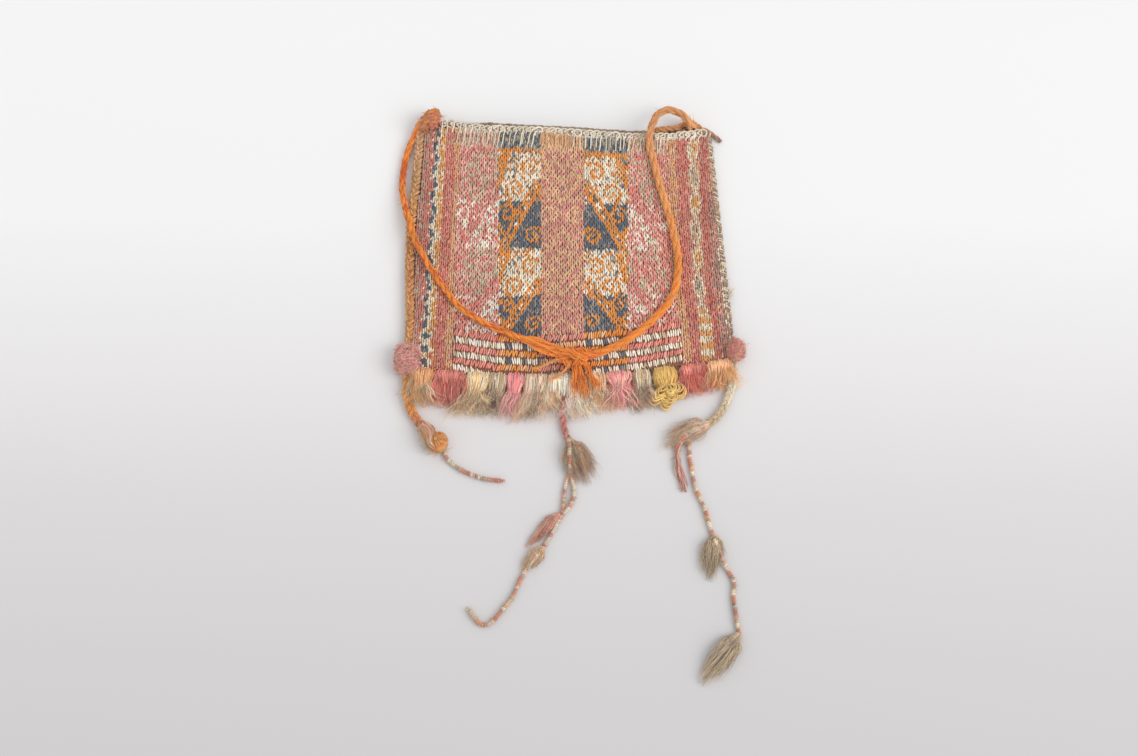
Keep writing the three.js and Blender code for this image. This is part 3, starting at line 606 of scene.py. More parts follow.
def tassel(name, place, towards, head, skirt, length, mix, slot, node, rng, flare=0.5):
    direction = unit(np.array([*towards, 0.0]))
    side = np.array([-direction[1], direction[0], 0.0])
    thick = min(skirt * 0.62, head * 1.2)
    t = np.linspace(0, 1, 8)
    bend = np.clip(t - 0.25, 0, 1) ** 1.5
    envelope = np.interp(t, tassels["at"], [head * 0.6, head * 0.92, head * 0.76, skirt * 0.86,
                                            skirt * (0.6 + 0.52 * flare), skirt * flare])
    depth = np.interp(t, tassels["at"], [head * 0.6, head * 0.9, head * 0.65, thick, thick * 0.8,
                                         thick * 0.4])
    ragged = np.random.default_rng(int(length * 10))     # locks of uneven length that lean apart
    lockLong = ragged.uniform(*tassels["lockLong"], tassels["locks"])
    lockLean = ragged.normal(0, tassels["lockLean"] * skirt, tassels["locks"])
    strands = []
    for k in range(tassels["yarns"] + tassels["fibres"]):
        thin = k >= tassels["yarns"]
        angle, phase = rng.random(2) * fullTurn
        reach = math.sqrt(rng.random()) * (1.0 if thin else 0.72)
        across, rise = reach * math.cos(angle), reach * math.sin(angle)
        share = 0.56 + 0.5 * rng.random() if thin else 0.45 + 0.25 * rng.random()
        long = length * share * (1.06 - 0.26 * across ** 2)
        wander, crimp = rng.normal(0, 0.3 * skirt, 2), rng.normal(0, 0.6)
        wave = phase + 6 * t
        lock = int(angle / fullTurn * tassels["locks"])
        gather = (math.cos((lock + 0.5) / tassels["locks"] * fullTurn) * 0.7 - across) * tassels["clump"]
        points = place + np.outer(t * long * lockLong[lock], direction)
        points += np.outer(envelope * (across + gather * bend) + bend * (wander[0] * 1.2 + lockLean[lock])
                           + crimp * np.sin(wave) * t, side)
        points += np.outer(depth * (1 + rise) + bend * wander[1] * 0.3 + 0.6 * crimp * np.cos(wave) * t, up)
        points[:, 2] = np.maximum(points[:, 2], 0.2)
        blend = dyes[mix[lock % len(mix)]] * 0.65 + dyes[mix[k % len(mix)]] * 0.35
        tone = uneven(blend, rng, 0.12, len(t)) * tassels["bleach"]
        width = np.interp(t, [0, 0.6, 1], [0.11, 0.08, 0.03])
        if not thin:
            width = np.interp(t, [0, 0.7, 1], [0.4, 0.4, 0.12])
        strands.append(strand(points, width, tone))
    neck = place + direction * length * tassels["neckAt"]
    angle = np.linspace(0, fullTurn, 16)
    for turn in range(3):                  # binding thread round the neck
        points = neck + np.outer(np.full(16, turn * 0.55 - 0.5), direction)
        points += np.outer((head * 0.74 + 0.2) * np.cos(angle), side)
        points += np.outer(head * 0.72 + head * 0.7 * np.sin(angle), up)
        strands.append(strand(points, 0.26, uneven(dyes[mix[0]], rng, 0.12, 16)))
    return finishPiece(yarnPiece(name, strands, 3, looseWool), slot, node)


thread = {"radius": 0.95, "yarn": 0.33, "pitch": 1.0, "perTurn": 8, "band": (1.0, 3.8), "lastBand": 2.8,
          "faded": 0.2, "step": 0.5, "hairs": 80, "frayed": 22}


def wrappedThread(line, rng, radius, bands):             # a core wound over with bands of dyed yarn
    run = measured(line)
    edges = np.cumsum(rng.uniform(*thread["band"], 60))
    perTurn = thread["perTurn"]
    at = np.linspace(0, run[-1], int(run[-1] / thread["pitch"] * perTurn))
    core = np.column_stack([np.interp(at, run, line[:, k]) for k in range(3)])
    tone = np.array([dyes[bands[k]] for k in np.searchsorted(edges, at) % len(bands)])
    tone[at > run[-1] - thread["lastBand"]] = dyes[bands[-1]]
    tone = tone + (dyes["beige"] - tone) * thread["faded"]
    tone = tone * (1 + rng.normal(0, 0.12, (len(at) // perTurn + 1, 1)).repeat(perTurn, 0)[:len(at)])
    reach = radius * (1 + 0.06 * np.sin(at * 1.1)) - thread["yarn"]
    # the core is a darker copy of the bands wound over it: painted shade between the windings
    strands = [strand(core[::6], radius * 0.75, tone[::6] * 0.85),
               strand(around(core, reach, fullTurn * at / thread["pitch"]), thread["yarn"], tone),
               *fuzz(line, radius, thread["hairs"], 0.9, dyes["blush"], rng)]
    ahead, t = unit(line[-1] - line[-4]), np.linspace(0, 1, 4)[:, None]
    for _ in range(thread["frayed"]):      # the far end frays out forwards
        foot = line[-1] + rng.normal(0, radius * 0.4, 3)
        points = foot + (ahead + rng.normal(0, 0.22, 3)) * rng.uniform(0.6, 1.8) * t
        strands.append(strand(points, np.linspace(0.2, 0.05, 4), uneven(tone[-1], rng, 0.1, 4)))
    return strands


def onTable(origin, route, radius, step):                # line of a cord that lies flat
    return smoothLine([np.array([origin[0] + x, origin[1] + y, radius]) for x, y in route], step)


def layCord(piece, slot, node):
    finishPiece(piece, slot, node)
    return piece


def layThread(name, line, bands, node, rng):
    piece = yarnPiece(name, wrappedThread(line, rng, thread["radius"], bands))
    return layCord(piece, "rose_wool", node)


# Left tail: a plaited cord, a wound yarn ball, a thin thread
leftTail = {"radius": 2.0, "strand": 0.95, "yarn": 0.45, "pitch": 8.4, "twist": 7, "sway": 1.15, "lift": 0.6,
            "tone": 0.2, "reach": 8, "width": 13.4, "rise": 0.034, "seed": 22, "end": (12.4, -24.4),
            "ball": 3.9, "wound": 3.95, "windings": 110, "inner": 50, "sleeve": 280}
rng = np.random.default_rng(leftTail["seed"])
leftOrigin = onCloth(-1, leftTail["rise"]) + [-pouch["gap"] - leftTail["reach"] * 0.45,
                                              -leftTail["width"] / 2 - pouch["gap"], 0]
endX, endY = leftTail["end"]
line = onTable(leftOrigin, [(2.6, 6), (2.4, 0), (2.5, -5.8), (3.6, -11.8), (6.2, -17), (9.2, -20.8),
                            (endX, endY)], leftTail["radius"], 0.6)
ballReach = leftTail["ball"] + pouch["gap"]
ballMiddle = leftOrigin + [endX + ballReach * 0.66, endY - ballReach * 0.75, leftTail["ball"]]
ballFoot = ballMiddle * [1, 1, 0]
fromBall = ballMiddle + [ballReach * 0.6, -ballReach * 0.6, 0]
ballStrands = []
for turn in range(leftTail["windings"]):
    axis = unit(rng.normal(0, 1, 3))
    first = unit(np.cross(axis, up + 0.01))
    second = np.cross(axis, first)
    arc = np.linspace(0, fullTurn * 0.8, 20) + rng.random() * fullTurn
    reach = leftTail["wound"] - 0.4 - (0.8 if turn < leftTail["inner"] else 0.4 * rng.random())
    ring = reach * (np.outer(np.cos(arc), first) + np.outer(np.sin(arc), second))
    points = ballMiddle + [0.9, -0.3, 0] + ring * [0.92, 1.1, 0.98]
    dye = ("clay", "ochre", "orange", "rust", "ember")[rng.integers(0, 5)]
    ballStrands.append(strand(points, 0.4, uneven(dyes[dye], rng, 0.18, len(arc))))
bundleStart = leftOrigin + [endX - 3.4, endY + 3.8, leftTail["radius"]]
onward = unit(np.array([*(fromBall - bundleStart)[:2], 0.0]))
flank = np.array([-onward[1], onward[0], 0.0])
for k in range(leftTail["sleeve"]):        # pale yarns sleeve the plait's end and the near side of the ball
    turn = rng.random() * fullTurn
    aside, above = math.cos(turn), math.sin(turn)
    near = -3.0 + 1.2 * aside
    crown = math.sqrt(max(0.1, leftTail["wound"] ** 2 - near ** 2)) + 0.3
    route = [bundleStart + flank * 2.1 * aside + up * (2.3 * above + 0.2),
             ballFoot - onward * 4.4 + flank * (2.9 * aside - 0.3) + up * (2.9 + 2.7 * above),
             ballMiddle + flank * near + up * crown * above,
             ballFoot + onward * 3.4 + flank * (0.5 * aside - 1.2) + up * (1.4 + 1.1 * above),
             np.array([*fromBall[:2], thread["radius"]]) + rng.normal(0, 0.4, 3)]
    bundled = smoothLine(np.array(route) + rng.normal(0, 0.28, (5, 3)), 1.5)
    dye = ("rust", "tan", "rust", "ochre", "blush", "beige")[rng.integers(0, 6)]
    tone = uneven(dyes[dye] * rng.uniform(0.75, 1.1), rng, 0.12, len(bundled))
    ballStrands.append(strand(bundled, 0.17 if k % 4 else 0.26, tone))
sleeveLine = smoothLine([bundleStart, ballMiddle + [-3, -3, -2], np.array([*fromBall[:2], 1.0])], 1.0)
ballStrands += fuzz(sleeveLine, 2.4, 60, 1.8, dyes["beige"], rng)
ballPiece = finishPiece(yarnPiece("left_yarn_ball", ballStrands), "orange_wool", "left_tail_ball")
strands = plaitedCord(line, leftTail, rng, [(0, "rust"), (0.3, "ochre"), (0.6, "clay"), (1, "mauve")])
strands += fuzz(line, leftTail["radius"], 40, 1.0, dyes["ochre"], rng)
layCord(yarnPiece("left_tail_plait", strands), "ochre_wool",
        "left_tail_cord")
line = onTable(fromBall, [(-1.8, 2.4), (0, 0), (1.2, -3.6), (4, -6.3), (7.5, -8.7), (11, -10.3),
                          (15.4, -11.9), (19.4, -12.6), (22.8, -13.0)], thread["radius"], thread["step"])
layThread("left_tail_thin_thread", line, ("sienna", "cream", "mauve", "cream", "fawn", "red"),
          "left_tail_thread", rng)

# Middle tail: a twisted cord out of the fringe, then tassels on a thin thread that is double for a while
middleTail = {"radius": 1.55, "plies": 2, "ply": 0.86, "yarns": 4, "yarn": 0.42, "pitch": 6.4, "twist": 4.4,
              "loose": 0.05, "tone": 0.12, "fleck": "cream", "fleckShare": 0.6,
              "strand": 0.8, "seed": 23, "slotU": -0.0472}
rng = np.random.default_rng(middleTail["seed"])
middleOrigin = onCloth(middleTail["slotU"], 0) - [0, pouch["gap"], 0]
line = onTable(middleOrigin, [(0.2, 6), (0, 0), (0, -5.5), (0, -11), (-0.2, -16.6), (0.4, -21.8),
                              (1.8, -26.2)], middleTail["radius"], 0.5)
hung = tassel("middle_tassel_upper", middleOrigin + [1.8, -26.0, 0], (0.4, -0.92), 2.2, 5.0, 17.4,
              ("fawn", "cocoa", "tan", "grey", "fawn"), "fawn_wool", "centre_tassel_1", rng, 1.15)
strands = pliedCord(line, middleTail, rng, [(0, "white"), (0.3, "blush"), (0.45, "rose"), (1, "mauve")])
strands += fuzz(line, middleTail["radius"], 50, 1.0, dyes["rose"], rng)
layCord(yarnPiece("middle_tail_twist", strands), "red_wool",
        "centre_tail_cord")
line = smoothLine(middleOrigin + np.array([
    (2.2, -27.4, 3.6), (2.4, -31, 4.6), (2.5, -35, 4.2), (2.6, -38.6, 2.4), (3.2, -42, 0.95),
    (4.2, -46.4, 0.95), (4.0, -50.4, 0.95), (2, -54.6, 0.95), (-1.2, -58.6, 0.95), (-4, -64, 0.95),
    (-7.4, -69.5, 0.95), (-10.6, -74.4, 2.6), (-14.0, -78.6, 1.2)]), thread["step"])
strandLine = onTable(middleOrigin, [(2.4, -40.2), (1.2, -43.6), (0.5, -48), (0.0, -52.4), (-0.7, -56.8)],
                     middleTail["strand"], 0.5)
strands = wrappedThread(strandLine, rng, middleTail["strand"], ("beige", "tan", "cream", "mauve"))
loose = finishPiece(yarnPiece("middle_loose_strand", strands), "peach_wool", "centre_tail_strand")
hung = [tassel("middle_tassel_pink", middleOrigin + [-1.6, -56.6, 0], (-0.69, -0.72), 1.2, 2.0, 16.4,
               ("tan", "blush", "mauve", "rose", "cocoa"), "pink_wool", "centre_tassel_2", rng, 0.8),
        tassel("middle_tassel_end", middleOrigin + [-7.8, -70.2, 0], (-0.6, -0.8), 1.5, 3.0, 11.4,
               ("beige", "tan", "sand"), "beige_wool", "centre_tassel_3", rng)]
layThread("middle_tail_thin_thread", line, ("cream", "mauve", "beige", "sienna", "cream", "blush", "cream"),
          "centre_tail_thread", rng)
line = onTable(middleOrigin, [(-13.9, -78.2), (-16.5, -82.6), (-19.8, -90), (-23.8, -95.4), (-27.1, -99.5),
                              (-29.4, -101.2), (-32.2, -101), (-34.4, -98.8), (-36.5, -95.7)],
               thread["radius"], thread["step"])
endBands = ("tan", "cream", "mauve", "sienna", "cream", "mauve", "rust", "beige")
layThread("middle_tail_thin_end", line, endBands, "centre_tail_end", rng)

# Right tail: a cream plait, a frayed tassel, then two more tassels on thin threads
rightTail = {"radius": 1.8, "strand": 0.85, "yarn": 0.4, "pitch": 7.4, "twist": 6, "sway": 1.05, "lift": 0.55,
             "tone": 0.1, "reach": 6.2, "width": 10.6, "rise": 0.034, "seed": 24, "looseYarns": 16}
rng = np.random.default_rng(rightTail["seed"])
rightOrigin = onCloth(1, rightTail["rise"]) + [pouch["gap"] + rightTail["reach"] * 0.4,
                                               -rightTail["width"] / 2 - pouch["gap"], 0]
line = onTable(rightOrigin, [(-1.6, 5), (-1.6, 0), (-1.8, -4.2), (-3, -10.2), (-5.6, -17), (-9.2, -22.2),
                             (-13.4, -25.4)], rightTail["radius"], 0.6)
hung = tassel("right_tassel_frayed", rightOrigin + [-12.0, -24.6, 0], (-0.92, -0.38), 2.4, 4.8, 20,
              ("beige", "fawn", "blush", "cream", "tan"), "beige_wool", "right_tassel_1", rng, 0.5)
strands = plaitedCord(line, rightTail, rng, [(0, "beige"), (0.4, "cream"), (1, "sand")])
strands += fuzz(line, rightTail["radius"], 40, 1.0, dyes["cream"], rng)
layCord(yarnPiece("right_tail_plait", strands), "cream_wool",
        "right_tail_cord")
line = onTable(rightOrigin, [(-20.4, -30.6), (-20.2, -37), (-19.3, -44.4), (-17.5, -52.2), (-14.7, -59),
                             (-13.1, -64.8), (-11.4, -71.4)], thread["radius"], thread["step"])
looseStrands = []
for k in range(rightTail["looseYarns"]):   # pink yarns that loop out of the tassel and fray
    sway = rng.normal(0, 1)
    strandLine = smoothLine(rightOrigin + np.array([
        (-19.6 + 0.4 * sway, -29.6, 2.2 + 0.3 * sway), (-22.4 + 0.4 * sway, -30.4, 3.0 + 0.4 * sway),
        (-24.6 + 0.6 * sway, -33.6 + 0.3 * sway, 2.0), (-25.3 + 0.7 * sway, -38.4, 1.2 + 0.3 * sway),
        (-24.6 + 0.8 * sway, -44.2, 1.0), (-22.4 + 0.9 * sway, -50 - 2.6 * rng.random(), 0.6)]), 0.8)
    dye = ("rose", "red", "blush", "beige")[k % 4]
    points = around(strandLine, 0.6, measured(strandLine) * 0.35 + k)
    tone = uneven(dyes[dye], rng, 0.1, len(points))
    looseStrands.append(strand(points, np.linspace(0.34, 0.14, len(points)), tone))
    looseStrands += fuzz(strandLine, 0.4, 5, 1.6, dyes[dye], rng)
loose = finishPiece(yarnPiece("right_loose_strands", looseStrands), "pink_wool", "right_tail_strand")
hung = tassel("right_tassel_grey", rightOrigin + [-10.6, -70.2, 0], (-0.17, -0.98), 1.9, 4.0, 16.2,
              ("sand", "fawn", "beige", "grey"), "grey_wool", "right_tassel_2", rng, 0.75)
layThread("right_tail_upper_thread", line, ("rust", "cream", "mauve", "cream", "sienna"),
          "right_tail_thread_1", rng)
line = smoothLine(rightOrigin + np.array([
    (-11.4, -71.4, 3.0), (-10.4, -74.4, 3.2), (-8.6, -79, 2.2), (-5.9, -84.6, 0.95), (-3.8, -88.8, 0.95),
    (-4.1, -95.3, 0.95), (-3.3, -101.9, 0.95), (-2.2, -110.2, 0.95)]), thread["step"])
hung = tassel("right_tassel_end", rightOrigin + [-2.0, -109.6, 0], (-0.64, -0.77), 2.2, 5.0, 20.6,
              ("beige", "fawn", "beige", "grey"), "beige_wool", "right_tassel_3", rng, 0.42)
layThread("right_tail_lower_thread", line, ("cocoa", "cream", "mauve", "tan", "cream", "sienna"),
          "right_tail_thread_2", rng)
print("tails made")


# Fringe: bound tufts of yarn along the fold; fan of doubled yarns, binding, then loose ends
fringe = {"waistAt": 0.44, "waistShift": 0.05, "ballWaist": 0.6, "slot": 3.1, "yarn": 0.28, "pitch": 0.35,
          "overlap": 0.9, "strays": 8, "hair": 0.07, "locksPerMm": 9, "hairsPerLock": 7, "lockWidth": 0.75,
          "lockTone": 0.27, "bite": 3.4, "bleach": 1.62, "fanBleach": 1.14, "lobeBleach": 1.15, "seed": 31,
          "cover": {"tuft_07_white": 5.0}}
# node, slot, share of the fold, length, lean, waist, fan dyes, dyes of the loose ends, fluff, combed share
tufts = [
    ("tuft_01_ochre", "ochre_wool", 9.8, 14.4, 1.4, 0.85,
     ("peach", "ochre", "ochre"), ("sand", "ochre", "beige"), 1.0, 0.9),
    ("tuft_02_red", "red_wool", 13.4, 13.6, 0.6, 0.78,
     ("rose", "red", "rose", "rose"), ("red", "rose", "red"), 0.8, 0.9),
    ("tuft_03_cream", "cream_wool", 9.7, 17.8, -4.6, 0.8,
     ("butter", "butter", "cream"), ("sand", "fawn", "beige", "sand"), 1.3, 0.97),
    ("tuft_04_grey", "grey_wool", 6.9, 17.4, -4, 0.95,
     ("fawn", "sand", "cream", "grey"), ("fawn", "grey", "cocoa"), 1.3, 0.95),
    ("tuft_05_pink", "pink_wool", 7.2, 17.4, -3, 0.55,
     ("pink", "blush", "pink", "pink"), ("petal", "petal", "pink", "petal"), 1.0, 0.5),
    ("tuft_06_fawn", "fawn_wool", 9.7, 19, -5, 0.85,
     ("blush", "beige", "cream", "fawn", "cream"), ("beige", "blush", "grey", "fawn"), 1.4, 0.97),
    ("tuft_07_white", "white_wool", 4.9, 15, -1, 0.95,
     ("white", "cream", "white"), ("cream", "peach", "beige"), 1.2, 0.95),
    (None, None, 0, 0, 0, 0, (), (), 0, 0),              # the slot where the middle tail comes out
    ("tuft_08_cream", "cream_wool", 8.1, 18.4, -2, 0.95,
     ("white", "cream", "peach"), ("white", "cream", "petal"), 1.3, 0.97),
    ("tuft_09_beige", "beige_wool", 7.6, 16.4, 0, 0.95,
     ("peach", "tan", "cream"), ("beige", "cream", "peach"), 1.3, 0.95),
    ("tuft_10_pink", "rose_wool", 11, 15.4, 0, 0.45,
     ("blush", "pink", "blush", "blush"), ("petal", "blush", "pink"), 1.1, 0.5),
    ("tuft_11_grey", "grey_wool", 7.3, 16.8, 0, 0.98,
     ("fawn", "cream", "grey", "sand"), ("fawn", "grey", "cocoa"), 1.3, 0.95),
    ("tuft_12_yellow", "yellow_wool", 12.1, 13, 0, 0.5, ("yellow",), (), 0, 0),
    ("tuft_13_red", "red_wool", 11, 12.6, -1.4, 0.85,
     ("rose", "red", "rose"), ("red", "brick", "rose"), 0.9, 0.9),
    ("tuft_14_peach", "peach_wool", 10.7, 11.8, -3.6, 0.9,
     ("peach", "tan", "peach"), ("ochre", "peach", "sand"), 1.2, 0.95),
]
# looped lobes of the yellow tuft: heading, length, width, height
lobes = ((140, 9.4, 3.2, 2.4), (100, 9.6, 3.6, 1.6), (72, 6.6, 2.8, 3.0), (24, 8.4, 4.0, 2.6))


def foldTuft(u, width, length, lean, waist, fanDyes, endDyes, fluff, combed, rng, cover):
    side = unit(np.array([halfWidth(0), 2 * pouch["foldBow"] * u + pouch["foldTilt"], 0.0]))
    down = np.array([side[1], -side[0], 0.0])
    origin = onCloth(u, 0) + down * pouch["gap"]
    half = width / 2
    waistShare = fringe["waistAt"] + rng.normal(0, fringe["waistShift"]) if endDyes else fringe["ballWaist"]
    waistAt = waistShare * length
    edgeZ = 2.2 + 0.5 * float(frontHeight(u, 0.02) - pouch["seam"])

    def place(across, alongIt, z):
        return (origin + np.outer(across + lean * (alongIt / length) ** 2, side) + np.outer(alongIt, down)
                + np.outer(z, up))

    strands = []
    t = np.linspace(0, 1, 10)
    # front, filling and back of the fan: top, root, draw of the binding, spacing, thickness
    layers = ((5.6, edgeZ + 0.9, waist, 1, 1), (4.3, 2.2, 0.92 * waist, 2, 2.4), (1.3, 0.9, 1.0, 2, 2.4))
    for layer, (top, root, pinch, spacing, thicker) in enumerate(layers):
        over = cover if layer == 0 else 0  # how far the front yarns lie over the tail beside them
        count = max(6, round((width + over) / fringe["pitch"] / spacing))
        widths = [0.92, 1.04, 0.45 + 0.55 * pinch, pinch] if endDyes else [0.66, 0.82, 0.8, 0.4]
        for k in range(count):
            s = ((k + 0.5) / count * 2 - 1) + rng.normal(0, 0.012)
            edge = math.sqrt(max(0.08, 1 - abs(s) ** 3))
            across = half * s * np.interp(t, [0, 0.3, 0.62, 1], widths)
            across = across + rng.normal(0, 0.07) * np.sin(fullTurn * (t * 1.3 + rng.random()))
            across = across + over * (s + 1) / 2
            alongIt = waistAt * (1 + rng.normal(0.06, 0.15)) * t
            tuckIn = fringe["overlap"] * edge + rng.normal(0, 0.3) if layer == 0 else 0.2
            alongIt = alongIt - tuckIn * (1 - t) ** 2
            high = 1 + (top - 1) * (0.4 + 0.6 * edge) * (1 + rng.normal(0, 0.03))
            lift = np.interp(t, [0, 0.25, 0.55, 0.85, 1], [root, high, high, high * 0.82, 3.0 - layer])
            dye = fanDyes[rng.integers(0, len(fanDyes))]
            thick = fringe["yarn"] * (1 + rng.normal(0, 0.08)) * thicker
            tone = uneven(dyes[dye], rng, 0.07, len(t)) * fringe["fanBleach"]
            strands.append(strand(place(across, alongIt, lift), thick, tone))
    for turn in range(3):                  # binding thread round the waist
        angle = np.linspace(0, fullTurn, 22)
        across = (half * waist + 0.1) * np.cos(angle)
        dip = 0.7 * np.cos(angle) ** 2 * rng.normal(0, 1) + 0.4 * np.sin(2 * angle + turn)
        points = place(across, waistAt + (turn - 1) * 0.5 + dip, 1.9 + 1.7 * np.sin(angle))
        strands.append(strand(points, 0.22, uneven(dyes[fanDyes[turn % len(fanDyes)]], rng, 0.08, 22)))
    curve = np.linspace(0, 1, 4)
    for _ in range(round(width * fringe["strays"])):     # short fibres that stand off the fan
        footX, footY = half * rng.uniform(-1, 1), waistAt * rng.uniform(0, 1.1)
        sway = rng.normal(0, 1, 3)
        alongIt = footY + sway[1] * curve + rng.normal(0, 0.4) * curve ** 2
        points = place(footX + sway[0] * curve, alongIt, 3.4 + (2.2 + 0.6 * abs(sway[2])) * curve)
        dye = fanDyes[rng.integers(0, len(fanDyes))]
        tone = uneven(dyes[dye], rng, 0.1, 4) * fringe["fanBleach"]
        strands.append(strand(points, np.linspace(0.07, 0.03, 4), tone))
    if endDyes:
        strands += looseEnds(place, half, waist, waistAt, length, endDyes, fluff, combed, rng)
    else:
        strands += loopLobes(place, waistAt, fanDyes[0], rng)
    return strands


def looseEnds(place, half, waist, waistAt, length, endDyes, fluff, combed, rng):
    strands = []
    t = np.linspace(0, 1, 7)
    for _ in range(round(2 * half * fringe["locksPerMm"])):
        s = rng.uniform(-1, 1)
        thin = rng.random() < combed
        root = waistAt - fringe["bite"] * rng.random() ** 1.6 if thin else waistAt - 0.4
        long = (length - waistAt) * rng.uniform(0.5, 1.0) + waistAt - root
        drift = half * s * (0.1 + 0.1 * fluff) + rng.normal(0, 2.3 * fluff)
        crimp, phase, height = rng.normal(0, 1.1 * fluff), rng.random() * fullTurn, rng.random()
        wave = phase + rng.uniform(3.5, 7.5) * t
        dye = endDyes[rng.integers(0, len(endDyes))]
        tone = uneven(dyes[dye], rng, fringe["lockTone"]) * fringe["bleach"]
        top = [1.0 + 3.4 * height, 0.5 + (4.8 + 0.5 * fluff) * height, 0.2 + 2.8 * height]
        width = np.interp(t, [0, 0.7, 1], [fringe["hair"], 0.06, 0.03] if thin else [0.26, 0.24, 0.12])
        for _ in range(fringe["hairsPerLock"] if thin else 1):
            apart, wisp = rng.normal(0, fringe["lockWidth"], 2), rng.normal(0, 0.75 * fluff, 2)
            across = half * s * np.interp(t, [0, 0.25, 1], [waist, 0.5 + 0.5 * waist, 1.0]) + drift * t ** 1.4
            across = across + (crimp * np.sin(wave) + wisp[0] * np.sin(8 * t + phase)) * t + apart[0]
            alongIt = root + long * t * rng.uniform(0.72, 1.18) + crimp * 0.5 * np.cos(wave) * t
            lift = np.interp(t, [0, 0.3, 1], top)
            lift = lift + (crimp * 0.5 * np.cos(wave) + wisp[1] * np.cos(6 * t + phase)) * t + apart[1] * 0.7
            strands.append(strand(place(across, alongIt, lift), width, tone * (1 + rng.normal(0, 0.1))))
    return strands


def loopLobes(place, waistAt, dye, rng):
    strands = []
    angle = np.linspace(0, fullTurn, 22)
    swell = (1 - np.cos(angle)) / 2
    for heading, long, wide, low in lobes:
        way = math.radians(heading)
        for ring in range(9):              # loops of one yarn, laid over each other
            scale, turn = 1 - 0.08 * ring + rng.normal(0, 0.03), way + rng.normal(0, 0.09)
            out = long * scale * swell
            off = wide * scale * np.sin(angle) * (0.5 + 0.32 * swell)
            across = out * math.cos(turn) - off * math.sin(turn)
            alongIt = waistAt - 0.4 + out * math.sin(turn) + off * math.cos(turn)
            z = low + 0.9 * np.sin(angle / 2) + 0.24 * ring + 0.25 * np.cos(angle + ring)
            for depth in (1.0, 0.45):
                tone = uneven(dyes[dye], rng, 0.09, len(angle)) * fringe["lobeBleach"]
                strands.append(strand(place(across, alongIt, z * depth), fringe["yarn"], tone))
    return strands


rng = np.random.default_rng(fringe["seed"])
shares = sum(row[2] for row in tufts)
fringeX = -pouch["foldWidth"] / 2
for name, slot, share, *shape in tufts:
    width = share / shares * (pouch["foldWidth"] - fringe["slot"]) if name else fringe["slot"]
    middle = (fringeX + width / 2) / (pouch["foldWidth"] / 2)
    fringeX += width
    if name:
        strands = foldTuft(middle, width, *shape, rng, fringe["cover"].get(name, 0))
        finishPiece(yarnPiece("fringe_" + name[5:], strands, 3, looseWool), slot, name)

# Corner tufts: yarn looped out from the seam, brushed soft
cornerTuft = {"thick": 7.4, "yarn": 0.3, "rows": 30, "rings": 4, "hairs": 500, "strokes": 620, "seed": 32,
              "left": ("blush", "rose", "blush", "mauve"), "right": ("mauve", "rose", "mauve", "tan", "rose")}
rng = np.random.default_rng(cornerTuft["seed"])


def cornerLoops(middle, way, tail, mix, size, squareness):
    strands = []
    reach, width = tail["reach"] * size, tail["width"] * size
    arc = np.linspace(-math.pi / 2, math.pi / 2, 11)
    thick = cornerTuft["thick"] / 2
    for row in range(cornerTuft["rows"]):
        s = (row + 0.5) / cornerTuft["rows"] * 2 - 1
        bulge = math.sqrt(max(0.08, 1 - s * s))
        for ring in range(cornerTuft["rings"]):
            scale = (1 - 0.24 * ring) * (1 + rng.normal(0, 0.03))
            x = way * (reach * (0.35 + 0.65 * bulge) * scale * np.cos(arc) - 1.2)
            y = s * width / 2 * (0.62 + 0.36 * np.cos(arc)) + rng.normal(0, 0.2)
            y = y + rng.normal(0, 0.35) * np.sin(2 * arc + rng.random() * 6)
            z = thick * (1 + bulge * scale * np.sin(arc) * 0.92)
            tone = uneven(dyes[mix[rng.integers(0, len(mix))]], rng, 0.1, 11)
            strands.append(strand(middle + np.column_stack([x, y, z]), cornerTuft["yarn"], tone))
    core = middle + [way * (reach * 0.3 - 1), 0, thick]
    box = np.array([reach * 0.62, width * 0.45, thick * 0.92])
    t = np.linspace(-0.5, 0.5, 6)[:, None]
    for k in range(cornerTuft["strokes"] + cornerTuft["hairs"]):      # brushed ends, then short curly fibres
        out = unit(rng.normal(0, 1, 3) * [1, 1, 0.8] + [way * 0.3, 0, 0.6])
        foot = core + np.sign(out) * np.abs(out) ** squareness * box
        if k < cornerTuft["strokes"]:
            lie = np.array([way, rng.normal(-0.4, 0.6), 0.0])
            lie = unit(lie - out * (lie @ out)) * rng.uniform(1.6, 3.6)
            points = foot + lie * t - out * (lie @ lie) * 0.1 * t ** 2
            points = points + rng.normal(0, 0.3, 3) * np.sin(fullTurn * t)
            thickness = np.linspace(0.22, 0.12, 6)
        else:
            points = foot + (out * 0.4 + rng.normal(0, 0.9, 3)) * (t + 0.5)
            points = points + rng.normal(0, 0.7, 3) * np.cos(math.pi * t)
            thickness = np.linspace(0.09, 0.035, 6)
        tone = uneven(dyes[(*mix, "beige", "pink")[rng.integers(0, len(mix) + 2)]], rng, 0.1, 6)
        strands.append(strand(points, thickness, tone))
    return strands


leftFoot = onCloth(-1, leftTail["rise"])
leftLoops = cornerLoops(leftFoot, -1, leftTail, cornerTuft["left"], 1.0, 0.72)
rightFoot = onCloth(1, rightTail["rise"]) + [1.4, 0.5, 0]
rightLoops = cornerLoops(rightFoot, 1, rightTail, cornerTuft["right"], 0.9, 1.1)
cornerPieces = [
    finishPiece(yarnPiece("corner_pompom_left", leftLoops, 3, looseWool), "rose_wool", "corner_tuft_left"),
    finishPiece(yarnPiece("corner_pompom_right", rightLoops, 3, looseWool), "rose_wool", "corner_tuft_right")]
print("fringe made")


